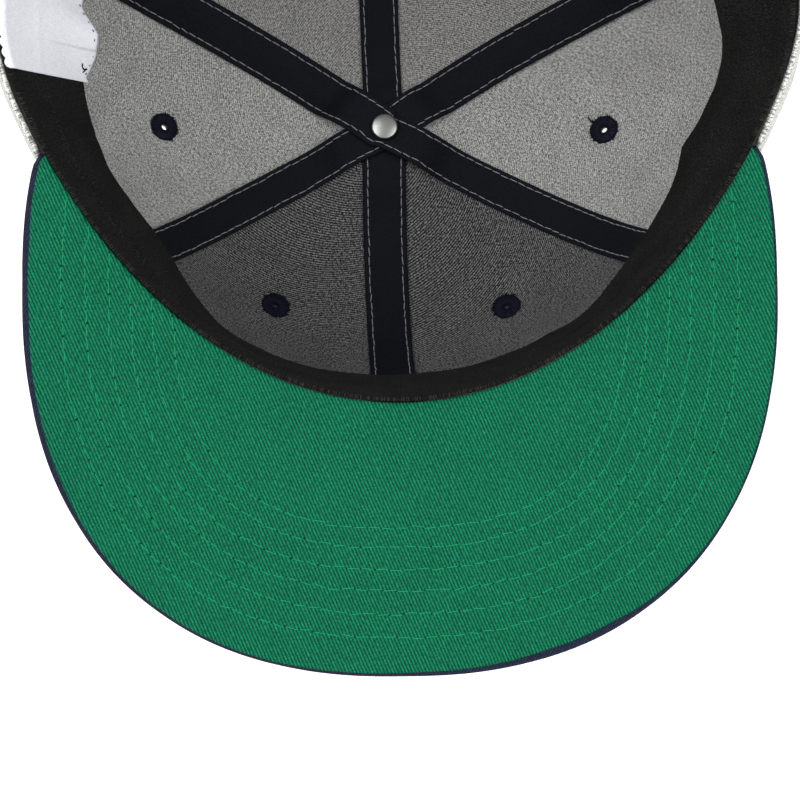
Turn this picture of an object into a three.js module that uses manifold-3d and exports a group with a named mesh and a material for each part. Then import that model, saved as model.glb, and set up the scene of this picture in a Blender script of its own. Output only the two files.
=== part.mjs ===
import * as THREE from 'three';
import { mergeVertices } from 'three/addons/utils/BufferGeometryUtils.js';
import Module from 'manifold-3d';

// A snapback cap lying on its crown with the opening upwards. Millimetres, +Z up, brim towards -Y.
// It is shaped in its own frame: rim near z = 0, crown below it, widest line of the opening on y = 0.
// Azimuths and directions are degrees from the front, growing towards +X.

// Sizes of the opening, to the outer face of the sweatband
const openingHalfWidth = 98.8;

// Sizes of the crown
const crownDepth = 116;
const buttonForward = 11;
const buttonAside = 4;
const panelThickness = 1.5;
const panelSwell = 2;
const swellFullness = 0.7;
const seamGap = 0.4;
const panelTipRadius = 4.5;
const backingThickness = 1;
const backingSeamGap = 0.8;
const pieceGap = 0.3;

// Sizes of the tapes over the seams
const tapeWidth = 12;
const tapeThickness = 1;
const tapeGap = 0.5;
const tapeCrossing = 13;
const tapeSettle = 8;

// Sizes of the brim
const brimReach = 67.8;
const brimHalfWidth = 93.1;
const brimWidestBack = 27.9;
const brimTaperLength = 98;
const brimCornerAzimuth = 70;
const brimCornerTurn = 110.3;
const brimSquareness = 2.35;
const brimBend = 5;
const brimBoardThickness = 2.2;
const brimClothThickness = 0.8;
const brimEdgeWidth = 1.1;
const brimCornerRoom = 1.2;
const brimSlotReach = 6;

// Sizes of the sweatband
const bandDepth = 32;
const bandThickness = 1.3;
const bandEdgeRise = 1;
const bandEndGap = 0.6;

// Sizes of the label on the sweatband
const labelLength = 44;
const labelStart = -84;
const labelEdgeMargin = 1.5;
const labelOverhang = 1.5;
const labelThickness = 0.8;
const labelBulge = 4;

// Sizes of the eyelets
const eyeletRadius = 4.3;
const eyeletHole = 1.2;
const eyeletTube = 1.9;
const eyeletRim = 0.8;
const eyeletBevel = 0.5;
const eyeletInnerGap = 0.8;

// Sizes of the button and its rivet
const buttonRadius = 7.6;
const buttonHeight = 3.8;
const rivetRadius = 3.95;
const rivetHeight = 1.5;
const postRadius = 1.5;
const dimpleRadius = 27;

// Sizes of the opening at the back, its binding and the strap
const archHalfWidth = 34;
const archHeight = 46;
const archBindingWidth = 4;
const archBindingProud = 0.6;
const strapWidth = 20;
const strapThickness = 1.6;
const strapRimMargin = 1;
const strapTuck = 11;

// How far a tool runs past the piece that it cuts
const toolRoom = 10;

// How the cap rests: nose down by its tilt, its top pressed flat by its own weight
const restTilt = 7;
const restPress = 3;

// Columns of the grids that the cloth is made on
const columns = { panel: 8, tape: 2, brim: 30, band: 48, label: 8, strap: 16, binding: 14 };

// Rows of the crown's cloth from the button to the rim, as shares of the way. They lie closer round
// the button, and backing and tapes share the panels' rows so that their faces run side by side.
const crownRows = 16;
const tipRows = [0.5, 1, 1.5, 2, 2.5, 3];
const plainRows = [4, 5, 6, 7, 8, 9, 10, 11, 12, 13, 14];
const panelRows = [...tipRows.slice(1), ...plainRows, 15].map((row) => row / crownRows);
const backingRows = [...tipRows.slice(4), ...plainRows, 15].map((row) => row / crownRows);
const tapeRows = [0, ...tipRows, ...plainRows, 14.5].map((row) => row / crownRows);

// The rim from above: distance from the middle of the opening as a share of the half width
const rimShape = [
  { azimuth: 0, reach: 0.944 },
  { azimuth: 15, reach: 0.937 },
  { azimuth: 30, reach: 0.921 },
  { azimuth: 45, reach: 0.91 },
  { azimuth: 60, reach: 0.917 },
  { azimuth: 75, reach: 0.95 },
  { azimuth: 90, reach: 0.996 },
  { azimuth: 105, reach: 0.995 },
  { azimuth: 120, reach: 0.972 },
  { azimuth: 135, reach: 0.951 },
  { azimuth: 150, reach: 0.936 },
  { azimuth: 165, reach: 0.929 },
  { azimuth: 180, reach: 0.926 },
];

// The crown's profile at each azimuth. top is how far the flat top runs out and wall how far the
// upright wall runs down, as shares of the reach and the depth; flare is how far the wall's handle
// stands outside the rim, as a share of the half width of the opening.
const crownShape = [
  { azimuth: 0, top: 0.8, wall: 0.78, flare: 0.03 },
  { azimuth: 30, top: 0.79, wall: 0.77, flare: 0.035 },
  { azimuth: 60, top: 0.76, wall: 0.72, flare: 0.07 },
  { azimuth: 90, top: 0.72, wall: 0.68, flare: 0.13 },
  { azimuth: 120, top: 0.68, wall: 0.64, flare: 0.11 },
  { azimuth: 150, top: 0.64, wall: 0.6, flare: 0.06 },
  { azimuth: 180, top: 0.62, wall: 0.58, flare: 0.04 },
];

// How far the sweatband's free edge leans in from the rim, as a share of the band's depth
const bandLean = [
  { azimuth: 0, lean: 0.245 },
  { azimuth: 15, lean: 0.21 },
  { azimuth: 30, lean: 0.18 },
  { azimuth: 45, lean: 0.25 },
  { azimuth: 60, lean: 0.29 },
  { azimuth: 75, lean: 0.37 },
  { azimuth: 90, lean: 0.39 },
  { azimuth: 105, lean: 0.37 },
  { azimuth: 120, lean: 0.31 },
  { azimuth: 135, lean: 0.28 },
  { azimuth: 150, lean: 0.25 },
  { azimuth: 165, lean: 0.25 },
  { azimuth: 180, lean: 0.25 },
];

// The six seams. direction is where a seam meets the rim, bow how many degrees it has turned from that
// where it leaves the button, and spread how wide its tape lies, as a share of the tape's width.
const seams = {
  front: { direction: 2.2, bow: -4, spread: 1.07 },
  rightFront: { direction: 61, bow: 2.5, spread: 0.93 },
  rightBack: { direction: 114.5, bow: 13, spread: 1.02 },
  back: { direction: 180.5, bow: 2.5, spread: 0.95 },
  leftBack: { direction: 243, bow: -10, spread: 1.1 },
  leftFront: { direction: 301.8, bow: -7.5, spread: 0.93 },
};

// The panels between them, with each eyelet's direction and level distance from the button
const panels = [
  { name: 'front_right', from: 'front', to: 'rightFront', eyelet: 33.5, distance: 62, backed: true },
  { name: 'side_right', from: 'rightFront', to: 'rightBack', eyelet: 89.5, distance: 63, backed: false },
  { name: 'back_right', from: 'rightBack', to: 'back', eyelet: 150, distance: 62, backed: false },
  { name: 'back_left', from: 'back', to: 'leftBack', eyelet: 210, distance: 62, backed: false },
  { name: 'side_left', from: 'leftBack', to: 'leftFront', eyelet: 268.8, distance: 62.8, backed: false },
  { name: 'front_left', from: 'leftFront', to: 'front', eyelet: 328.2, distance: 59.7, backed: true },
];

// The button from its flat face up, as shares of its radius and height
const buttonShape = [
  { radius: 0, height: 0 },
  { radius: 0.6, height: 0 },
  { radius: 0.88, height: 0.25 },
  { radius: 1, height: 0.62 },
  { radius: 0.95, height: 1 },
  { radius: 0, height: 1 },
];

// The rivet's domed head, as shares of its radius and height
const rivetShape = [
  { radius: 1, height: 0 },
  { radius: 1, height: 0.25 },
  { radius: 0.8, height: 0.7 },
  { radius: 0.42, height: 0.95 },
  { radius: 0, height: 1 },
];

const wasm = await Module();
wasm.setup();

const rad = THREE.MathUtils.degToRad;
const deg = THREE.MathUtils.radToDeg;
const lerp = THREE.MathUtils.lerp;
const fold = (angle) => THREE.MathUtils.euclideanModulo(angle + 180, 360) - 180;

const brimThickness = brimBoardThickness + pieceGap + brimClothThickness;
const button = new THREE.Vector3(-buttonAside, -buttonForward, -crownDepth);
const worldUp = new THREE.Vector3(0, Math.sin(rad(restTilt)), Math.cos(rad(restTilt)));

// Smooth value of one column at an azimuth, the same on both sides of the cap
function tableValue(rows, column, azimuth) {
  const last = rows.length - 1;
  const place = Math.abs(fold(azimuth)) / (rows[1].azimuth - rows[0].azimuth);
  const index = Math.min(Math.floor(place), last - 1);
  const t = place - index;
  const at = (k) => rows[k < 0 ? -k : k > last ? 2 * last - k : k][column];
  const [a, b, c, d] = [at(index - 1), at(index), at(index + 1), at(index + 2)];
  return b + 0.5 * t * (c - a + t * (2 * a - 5 * b + 4 * c - d + t * (3 * (b - c) + d - a)));
}

// Height of the bent brim and rim at a distance from the middle line; level behind the widest line
function rimLift(x, y) {
  return y < 0 ? brimBend * Math.min(1, (x / brimHalfWidth) ** 2) : brimBend;
}

// A point on the rim, moved outwards by a clearance
function rimPoint(azimuth, outwards) {
  const reach = openingHalfWidth * tableValue(rimShape, 'reach', azimuth) + outwards;
  const x = reach * Math.sin(rad(azimuth));
  const y = -reach * Math.cos(rad(azimuth));
  return new THREE.Vector3(x, y, rimLift(x, y));
}

// The rim's azimuth that lies in a direction from the button
function azimuthTowards(direction) {
  let azimuth = direction;
  for (let turn = 0; turn < 12; turn += 1) {
    const rim = rimPoint(azimuth, pieceGap);
    azimuth += fold(direction - deg(Math.atan2(rim.x - button.x, button.y - rim.y)));
  }
  return azimuth;
}

// The crown's curve from the button to the rim in one direction, along the panels' inner face
const meridians = new Map();
function meridian(direction) {
  const key = fold(direction).toFixed(4);
  if (!meridians.has(key)) {
    const azimuth = azimuthTowards(direction);
    const rim = rimPoint(azimuth, pieceGap);
    const across = new THREE.Vector3(rim.x - button.x, rim.y - button.y, 0);
    const top = button.clone().addScaledVector(across, tableValue(crownShape, 'top', azimuth));
    const flare = openingHalfWidth * tableValue(crownShape, 'flare', azimuth);
    const wall = rim.clone().addScaledVector(across.normalize(), flare);
    wall.z = lerp(rim.z, button.z, tableValue(crownShape, 'wall', azimuth));
    meridians.set(key, new THREE.CubicBezierCurve3(button, top, wall, rim));
  }
  return meridians.get(key);
}

// A seam's direction at a share of the way from the button to the rim
function seamTurn(seam, share) {
  return seams[seam].direction + seams[seam].bow * (1 - share) ** 2;
}

// How far a panel stands out between its two seams
function swellAt(direction, share) {
  const turns = Object.keys(seams).map((seam) => seamTurn(seam, share));
  const angle = THREE.MathUtils.euclideanModulo(direction - turns[0], 360) + turns[0];
  const index = turns.findLastIndex((turn) => turn <= angle);
  const next = index + 1 < turns.length ? turns[index + 1] : turns[0] + 360;
  const across = (angle - turns[index]) / (next - turns[index]);
  return panelSwell * Math.sin(Math.PI * across) * Math.sin(Math.PI * Math.min(1, share)) ** swellFullness;
}

// The crown's surface before it is laid down, moved outwards by an offset from the panels' inner face
function crownRaw(direction, share, offset) {
  if (share <= 0) {
    return button.clone().addScaledVector(new THREE.Vector3(0, 0, -1), offset);
  }
  const probe = 0.5;
  const curve = meridian(direction);
  const point = curve.getPointAt(share);
  const around = meridian(direction + probe).getPointAt(share);
  around.sub(meridian(direction - probe).getPointAt(share));
  const normal = around.cross(curve.getTangentAt(share)).normalize();
  return point.addScaledVector(normal, offset + swellAt(direction, share));
}

// Height of the cap's frame above what it rests on
function findRestHeight() {
  let lowest = Infinity;
  for (let direction = 0; direction < 360; direction += 10) {
    for (let share = 0; share < 0.6; share += 0.02) {
      lowest = Math.min(lowest, crownRaw(direction, share, panelThickness).dot(worldUp));
    }
  }
  return -lowest - restPress;
}
const restHeight = findRestHeight();

// Lays a point of the crown on the ground and over the button, under it a cloth of the panel's thickness
function drape(point, offset) {
  const fromButton = point.clone().sub(button);
  const height = fromButton.dot(worldUp);
  const distance = fromButton.addScaledVector(worldUp, -height).length();
  const rise = 1 - THREE.MathUtils.smootherstep(distance, buttonRadius, dimpleRadius);
  const needed = panelThickness - offset + rise * (buttonHeight + pieceGap);
  const short = needed - (point.dot(worldUp) + restHeight);
  return short > 0 ? point.addScaledVector(worldUp, short) : point;
}

function crownPoint(direction, share, offset) {
  return drape(crownRaw(direction, share, offset), offset);
}

// Share of the way to the rim at a level distance from the button
function shareAtDistance(direction, distance) {
  let low = 0;
  let high = 1;
  for (let turn = 0; turn < 30; turn += 1) {
    const middle = (low + high) / 2;
    const point = meridian(direction).getPointAt(middle);
    const reached = Math.hypot(point.x - button.x, point.y - button.y);
    if (reached < distance) low = middle;
    else high = middle;
  }
  return (low + high) / 2;
}

// A closed solid between two faces, each a grid of points; at(across, along, side) gives them
function solidSheet(steps, rows, at) {
  const wide = steps + 1;
  const positions = [];
  for (const side of [0, 1]) {
    for (let j = 0; j <= rows; j += 1) {
      for (let i = 0; i < wide; i += 1) positions.push(...at(i / steps, j / rows, side).toArray());
    }
  }
  const id = (i, j, side) => side * wide * (rows + 1) + j * wide + i;
  const triangles = [];
  const quad = (a, b, c, d) => triangles.push(a, b, c, a, c, d);
  for (let i = 0; i < steps; i += 1) {
    for (let j = 0; j < rows; j += 1) {
      quad(id(i, j, 0), id(i + 1, j, 0), id(i + 1, j + 1, 0), id(i, j + 1, 0));
      quad(id(i, j, 1), id(i, j + 1, 1), id(i + 1, j + 1, 1), id(i + 1, j, 1));
    }
    quad(id(i, 0, 1), id(i + 1, 0, 1), id(i + 1, 0, 0), id(i, 0, 0));
    quad(id(i, rows, 0), id(i + 1, rows, 0), id(i + 1, rows, 1), id(i, rows, 1));
  }
  for (let j = 0; j < rows; j += 1) {
    quad(id(0, j, 0), id(0, j + 1, 0), id(0, j + 1, 1), id(0, j, 1));
    quad(id(steps, j, 1), id(steps, j + 1, 1), id(steps, j + 1, 0), id(steps, j, 0));
  }
  return facingOut(positions, triangles);
}

// Turns every triangle over when the solid came out inside out
function facingOut(positions, triangles) {
  const corner = (k) => new THREE.Vector3().fromArray(positions, 3 * triangles[k]);
  let volume = 0;
  for (let k = 0; k < triangles.length; k += 3) {
    volume += corner(k).dot(corner(k + 1).cross(corner(k + 2)));
  }
  const geometry = new THREE.BufferGeometry();
  geometry.setAttribute('position', new THREE.Float32BufferAttribute(positions, 3));
  geometry.setIndex(volume < 0 ? triangles.reverse() : triangles);
  return geometry;
}

function toSolid(geometry) {
  const bare = geometry.clone();
  bare.deleteAttribute('normal');
  bare.deleteAttribute('uv');
  const merged = mergeVertices(bare, 1e-4);
  return new wasm.Manifold(
    new wasm.Mesh({
      numProp: 3,
      vertProperties: Float32Array.from(merged.attributes.position.array),
      triVerts: Uint32Array.from(merged.index.array),
    }),
  );
}

function toGeometry(solid) {
  const mesh = solid.getMesh();
  const geometry = new THREE.BufferGeometry();
  geometry.setAttribute('position', new THREE.BufferAttribute(mesh.vertProperties.slice(), 3));
  geometry.setIndex(new THREE.BufferAttribute(mesh.triVerts.slice(), 1));
  return geometry;
}

function cut(geometry, ...tools) {
  return toGeometry(tools.reduce((left, tool) => left.subtract(toSolid(tool)), toSolid(geometry)));
}

// A round rod centred on a point of the crown and square to it
function rod(radius, length, centre, axis) {
  const geometry = new THREE.CylinderGeometry(radius, radius, length, 10);
  geometry.applyQuaternion(new THREE.Quaternion().setFromUnitVectors(new THREE.Vector3(0, 1, 0), axis));
  return geometry.translate(centre.x, centre.y, centre.z);
}

// The place and the outward axis of a panel's eyelet
function eyeletSeat(panel) {
  const share = shareAtDistance(panel.eyelet, panel.distance);
  const centre = crownPoint(panel.eyelet, share, 0);
  const axis = crownPoint(panel.eyelet, share, panelThickness).sub(centre).normalize();
  return { centre, axis };
}

function eyeletRoom(panel) {
  const { centre, axis } = eyeletSeat(panel);
  return rod(eyeletTube + pieceGap, 2 * toolRoom, centre, axis);
}

// The back opening's outline widened by a margin, as a tool that runs through the back of the crown
function archTool(margin, rise) {
  const outline = new THREE.Shape();
  outline.moveTo(-archHalfWidth - margin, -rise);
  outline.lineTo(archHalfWidth + margin, -rise);
  outline.lineTo(archHalfWidth + margin, 0);
  outline.absellipse(0, 0, archHalfWidth + margin, archHeight + margin, 0, Math.PI, false, 0);
  const depth = 1.5 * openingHalfWidth;
  const geometry = new THREE.ExtrudeGeometry(outline, { depth, bevelEnabled: false, curveSegments: 14 });
  return geometry.rotateX(-Math.PI / 2);
}

// The room that the brim's inner edge takes in the crown's wall, with a clearance under and beside it
function brimSlot() {
  const end = brimCornerAzimuth + deg(brimCornerRoom / openingHalfWidth);
  return solidSheet(columns.brim, 1, (across, along, side) => {
    const point = rimPoint(lerp(-end, end, across), lerp(-brimSlotReach, brimSlotReach, along));
    point.z = rimLift(point.x, -1) + (side === 0 ? brimThickness : -brimThickness - pieceGap);
    return point;
  });
}

// A sheet of the crown between two seams, with a row for each share that shareOf gives
function crownSheet(panel, rowCount, gap, inner, outer, shareOf) {
  const between = (share) => {
    const start = seamTurn(panel.from, share);
    return [start, start + THREE.MathUtils.euclideanModulo(seamTurn(panel.to, share) - start, 360)];
  };
  return solidSheet(columns.panel, rowCount - 1, (across, along, side) => {
    const share = shareOf(lerp(...between(0), across), Math.round(along * (rowCount - 1)));
    const [start, end] = between(share);
    const point = meridian(lerp(start, end, across)).getPointAt(share);
    const reach = Math.hypot(point.x - button.x, point.y - button.y);
    const inset = deg(Math.asin(gap / 2 / reach));
    return crownPoint(lerp(start + inset, end - inset, across), share, side === 0 ? inner : outer);
  });
}

// A panel's first row is its tip by the button and its last is its edge at the rim
function panelGeometry(panel) {
  const geometry = crownSheet(panel, panelRows.length + 2, seamGap, 0, panelThickness, (direction, row) => {
    if (row === 0) return shareAtDistance(direction, panelTipRadius);
    if (row <= panelRows.length) return panelRows[row - 1];
    return 1;
  });
  const isBack = panel.from === 'back' || panel.to === 'back';
  return cut(geometry, eyeletRoom(panel), isBack ? archTool(pieceGap, toolRoom) : brimSlot());
}

function backingGeometry(panel) {
  const inner = -pieceGap - backingThickness;
  const rowShare = (direction, row) => backingRows[row];
  const geometry = crownSheet(panel, backingRows.length, backingSeamGap, inner, -pieceGap, rowShare);
  return cut(geometry, eyeletRoom(panel));
}

// A tape along two opposite seams and over the button's place. layer counts the tapes that it
// crosses over, and under gives the thickness of what lies beneath each half.
function tapeGeometry(tape) {
  const steps = tapeRows.length - 1;
  const clear = tapeGap + tapeThickness;
  return solidSheet(columns.tape, 2 * steps, (across, along, side) => {
    const row = Math.round(2 * steps * along) - steps;
    const half = row < 0 ? tape.from : tape.to;
    const turn = seamTurn(half, tapeRows[Math.abs(row)]);
    const curve = meridian(turn);
    const run = tapeRows[Math.abs(row)] * curve.getLength();
    const lateral = (across - 0.5) * tapeWidth * seams[half].spread * (row < 0 ? -1 : 1);
    const centre = curve.getPointAt(tapeRows[Math.abs(row)]);
    const reach = Math.hypot(centre.x - button.x, centre.y - button.y);
    const direction = turn + deg(Math.atan2(lateral, reach));
    const share = Math.hypot(run, lateral) / meridian(direction).getLength();
    const settled = THREE.MathUtils.smoothstep(run, tapeCrossing, tapeCrossing + tapeSettle);
    const under = half === tape.backed ? pieceGap + backingThickness : 0;
    const outer = -tapeGap - lerp(tape.layer * clear, under, settled);
    return crownPoint(direction, share, side === 0 ? outer : outer - tapeThickness);
  });
}

// Heights above the button's seat of what lies over it
const seatHeight = buttonHeight + pieceGap + panelThickness;
const tapeStack = 3 * (tapeGap + tapeThickness);

// Turned pieces stand on +Z
function turned(points, sides) {
  const profile = points.map(([radius, height]) => new THREE.Vector2(radius, height));
  return new THREE.LatheGeometry(profile, sides).rotateX(Math.PI / 2);
}

function buttonGeometry() {
  return turned(buttonShape.map((row) => [row.radius * buttonRadius, row.height * buttonHeight]), 16);
}

function rivetGeometry() {
  const foot = buttonHeight + pieceGap;
  const head = seatHeight + tapeStack + pieceGap;
  const dome = rivetShape.map((row) => [row.radius * rivetRadius, head + row.height * rivetHeight]);
  return turned([[0, foot], [postRadius, foot], [postRadius, head], ...dome], 16);
}

function eyeletGeometry(panel) {
  const inside = eyeletInnerGap + (panel.backed ? pieceGap + backingThickness : 0);
  const outside = panelThickness + pieceGap;
  return turned(
    [
      [eyeletHole, -inside - eyeletRim],
      [eyeletRadius - eyeletBevel, -inside - eyeletRim],
      [eyeletRadius, -inside],
      [eyeletTube, -inside],
      [eyeletTube, outside],
      [eyeletRadius, outside],
      [eyeletRadius - eyeletBevel, outside + eyeletRim],
      [eyeletHole, outside + eyeletRim],
      [eyeletHole, -inside - eyeletRim],
    ],
    10,
  );
}

// The brim's outer edge, turned about the middle of its widest line
function brimEdgePoint(turn, inset) {
  const widestY = -openingHalfWidth * rimShape[0].reach + brimWidestBack;
  const length = Math.cos(rad(turn)) > 0 ? brimReach + brimWidestBack : brimTaperLength;
  const wide = (Math.abs(Math.sin(rad(turn))) / brimHalfWidth) ** brimSquareness;
  const long = (Math.abs(Math.cos(rad(turn))) / length) ** brimSquareness;
  const reach = (wide + long) ** (-1 / brimSquareness) - inset;
  return new THREE.Vector3(reach * Math.sin(rad(turn)), widestY - reach * Math.cos(rad(turn)), 0);
}

function brimGeometry(inset, top, bottom) {
  return solidSheet(columns.brim, 4, (across, along, side) => {
    const inner = rimPoint((2 * across - 1) * brimCornerAzimuth, pieceGap);
    const outer = brimEdgePoint((2 * across - 1) * brimCornerTurn, inset);
    const point = inner.lerp(outer, along);
    point.z = brimBend * (point.x / brimHalfWidth) ** 2 - (side === 0 ? top : bottom);
    return point;
  });
}

// A point of the sweatband: down is its share of the depth, inwards its distance from the outer face
function bandPoint(azimuth, down, inwards) {
  const lean = bandDepth * tableValue(bandLean, 'lean', azimuth) * down;
  const point = rimPoint(azimuth, -lean - inwards);
  const edge = rimPoint(azimuth, 0);
  point.z = edge.z + bandEdgeRise - bandDepth * down;
  return point;
}

// Azimuths at the back where the strap's tucked ends and the sweatband's ends meet
const rimReachBack = openingHalfWidth * rimShape.at(-1).reach;
const strapEnd = 180 - deg((archHalfWidth + strapTuck) / rimReachBack);
const bandEnd = strapEnd - deg(bandEndGap / rimReachBack);

function bandGeometry() {
  return solidSheet(columns.band, 2, (across, along, side) =>
    bandPoint(lerp(-bandEnd, bandEnd, across), along, side * bandThickness));
}

function labelGeometry() {
  const end = labelStart - deg(labelLength / openingHalfWidth);
  const first = labelEdgeMargin / bandDepth;
  const last = 1 + labelOverhang / bandDepth;
  return solidSheet(columns.label, 3, (across, along, side) => {
    const bulge = labelBulge * Math.sin(Math.PI * across) * along ** 2;
    const inwards = bandThickness + pieceGap + side * labelThickness + bulge;
    return bandPoint(lerp(labelStart, end, across), lerp(first, last, along), inwards);
  });
}

function strapGeometry() {
  return solidSheet(columns.strap, 2, (across, along, side) => {
    const azimuth = lerp(strapEnd, 360 - strapEnd, across);
    const point = rimPoint(azimuth, -(side === 0 ? 0 : strapThickness));
    point.z -= strapRimMargin + strapWidth * along;
    return point;
  });
}

// The binding is the part of a thicker crown wall that lies between two arches
function archBindingGeometry() {
  const span = 40;
  const firstShare = 0.45;
  const outer = panelThickness + archBindingProud;
  const wall = solidSheet(columns.binding, 8, (across, along, side) => {
    const direction = lerp(180 - span, 180 + span, across);
    return crownPoint(direction, lerp(firstShare, 1, along), side * outer);
  });
  const inner = toSolid(archTool(-archBindingWidth, 2 * toolRoom));
  const band = toSolid(archTool(0, toolRoom)).subtract(inner);
  return toGeometry(toSolid(wall).intersect(band));
}

function finish(color, roughness, metalness = 0) {
  return new THREE.MeshStandardMaterial({ color, roughness, metalness });
}

const finishes = {
  heather: finish(0xb4b4b0, 0.95),
  backing: finish(0x484846, 0.95),
  tape: finish(0x14161c, 0.85),
  navy: finish(0x222c42, 0.9),
  green: finish(0x1a7a52, 0.9),
  black: finish(0x1e1e1d, 0.9),
  satin: finish(0xdedee6, 0.5),
  steel: finish(0xaaaca8, 0.3, 1),
  strap: finish(0x222c42, 0.55),
};

// The cap in its own frame; the button's and the eyelets' pieces are shaped on +Z and seated
const cap = new THREE.Group();

function add(name, geometry, material, parent = cap) {
  const mesh = new THREE.Mesh(geometry, material);
  mesh.name = name;
  parent.add(mesh);
  return mesh;
}

for (const panel of panels) {
  add(`crown_panel_${panel.name}`, panelGeometry(panel), finishes.heather);
  if (panel.backed) add(`front_backing_${panel.name.slice(6)}`, backingGeometry(panel), finishes.backing);
  const eyelet = add(`eyelet_${panel.name}`, eyeletGeometry(panel), finishes.navy);
  const { centre, axis } = eyeletSeat(panel);
  eyelet.position.copy(centre);
  eyelet.quaternion.setFromUnitVectors(new THREE.Vector3(0, 0, 1), axis);
}

// Where the button stands: upright on the ground, under the middle of the tapes
const buttonSeat = new THREE.Group();
buttonSeat.rotation.x = -rad(restTilt);
buttonSeat.position.copy(button).addScaledVector(worldUp, -button.dot(worldUp) - restHeight);
cap.add(buttonSeat);
add('top_button', buttonGeometry(), finishes.navy, buttonSeat);
add('button_rivet', rivetGeometry(), finishes.steel, buttonSeat);

const postRoom = rod(postRadius + pieceGap, 4 * toolRoom, button, worldUp);
const tapes = [
  { name: 'seam_tape_front_to_back', from: 'front', to: 'back', layer: 0, backed: 'front' },
  {
    name: 'seam_tape_right_back_to_left_front',
    from: 'rightBack',
    to: 'leftFront',
    layer: 1,
    backed: 'leftFront',
  },
  {
    name: 'seam_tape_left_back_to_right_front',
    from: 'leftBack',
    to: 'rightFront',
    layer: 2,
    backed: 'rightFront',
  },
];
for (const tape of tapes) {
  add(tape.name, cut(tapeGeometry(tape), postRoom, archTool(pieceGap, toolRoom)), finishes.tape);
}

add('brim_top', brimGeometry(0, brimClothThickness + pieceGap, brimThickness), finishes.navy);
add('brim_underside', brimGeometry(brimEdgeWidth, 0, brimClothThickness), finishes.green);
add('sweatband', bandGeometry(), finishes.black);
add('size_label', labelGeometry(), finishes.satin);
add('snap_strap', strapGeometry(), finishes.strap);
add('back_arch_binding', archBindingGeometry(), finishes.navy);

// The cap laid down nose first on its crown, with the middle of its outer box over the origin
const laid = new THREE.Group();
cap.rotation.x = rad(restTilt);
laid.add(cap);
laid.updateMatrixWorld(true);
const bounds = new THREE.Box3().setFromObject(laid, true);
cap.position.set(-(bounds.min.x + bounds.max.x) / 2, -(bounds.min.y + bounds.max.y) / 2, restHeight);

export default laid;
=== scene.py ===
import math

import bmesh
import bpy
import numpy as np
from mathutils import Matrix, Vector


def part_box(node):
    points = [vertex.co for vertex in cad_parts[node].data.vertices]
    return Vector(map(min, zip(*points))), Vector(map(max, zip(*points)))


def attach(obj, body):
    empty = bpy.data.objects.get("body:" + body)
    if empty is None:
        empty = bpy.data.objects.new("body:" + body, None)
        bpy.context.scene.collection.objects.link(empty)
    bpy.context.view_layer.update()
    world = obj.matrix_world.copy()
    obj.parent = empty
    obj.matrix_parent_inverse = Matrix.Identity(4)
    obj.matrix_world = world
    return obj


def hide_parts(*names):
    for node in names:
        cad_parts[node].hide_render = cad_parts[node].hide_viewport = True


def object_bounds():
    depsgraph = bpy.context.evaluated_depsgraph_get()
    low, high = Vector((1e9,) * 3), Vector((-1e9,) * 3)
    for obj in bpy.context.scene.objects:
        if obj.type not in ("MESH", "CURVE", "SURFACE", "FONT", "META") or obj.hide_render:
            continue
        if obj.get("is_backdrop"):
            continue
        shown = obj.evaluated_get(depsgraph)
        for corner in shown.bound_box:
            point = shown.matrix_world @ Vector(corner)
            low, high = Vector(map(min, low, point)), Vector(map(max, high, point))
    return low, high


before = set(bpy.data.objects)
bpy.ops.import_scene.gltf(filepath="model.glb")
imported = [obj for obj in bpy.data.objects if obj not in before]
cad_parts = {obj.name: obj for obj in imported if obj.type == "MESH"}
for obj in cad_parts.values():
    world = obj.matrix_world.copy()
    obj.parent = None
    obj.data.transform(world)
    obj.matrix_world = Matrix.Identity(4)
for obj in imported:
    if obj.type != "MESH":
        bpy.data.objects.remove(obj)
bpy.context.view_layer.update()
scene = bpy.context.scene

# The crown, in millimetres: rim near z = 0, crown below it, widest line of the opening on y = 0.
# Azimuths and directions are degrees from the brim's tip, growing towards +X.
crown = {
    "openingHalfWidth": 98.8, "depth": 116.0, "buttonForward": 11.0, "buttonAside": 4.0,
    "cloth": 1.5,  # thickness of a panel
    "swell": 2.0, "swellFullness": 0.7, "gap": 0.3, "restTilt": 7.0, "restPress": 3.0,
    "buttonRadius": 7.6, "buttonHeight": 3.8, "dimpleRadius": 27.0, "tipRadius": 4.5,
    "archHalfWidth": 34.0, "archHeight": 46.0,
}
rimReach = [0.944, 0.937, 0.921, 0.91, 0.917, 0.95, 0.996, 0.995, 0.972, 0.951, 0.936, 0.929, 0.926]
crownTop = [0.8, 0.79, 0.76, 0.72, 0.68, 0.64, 0.62]
crownWall = [0.78, 0.77, 0.72, 0.68, 0.64, 0.6, 0.58]
crownFlare = [0.03, 0.035, 0.07, 0.13, 0.11, 0.06, 0.04]

# direction at the rim, how far it has turned at the button, share of the tape's width
seams = {
    "front": (2.2, -4.0, 1.07),
    "rightFront": (61.0, 2.5, 0.93),
    "rightBack": (114.5, 13.0, 1.02),
    "back": (180.5, 2.5, 0.95),
    "leftBack": (243.0, -10.0, 1.1),
    "leftFront": (301.8, -7.5, 0.93),
}

brim = {
    "reach": 67.8, "halfWidth": 93.1, "widestBack": 27.9, "taperLength": 98.0, "cornerAzimuth": 70.0,
    "cornerTurn": 110.3, "squareness": 2.35, "bend": 5.0, "thickness": 3.3,
    "stitchRows": (9.7, 15.5, 21.2, 26.5, 31.9, 36.8),  # from the outer edge
}

button = np.array([-crown["buttonAside"], -crown["buttonForward"], -crown["depth"]])
tilt = math.radians(crown["restTilt"])
worldUp = np.array([0.0, math.sin(tilt), math.cos(tilt)])


def lerp(a, b, t):
    return a + (b - a) * t


def smoothStep(x, low, high):
    t = np.clip((x - low) / (high - low), 0, 1)
    return t * t * (3 - 2 * t)


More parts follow.
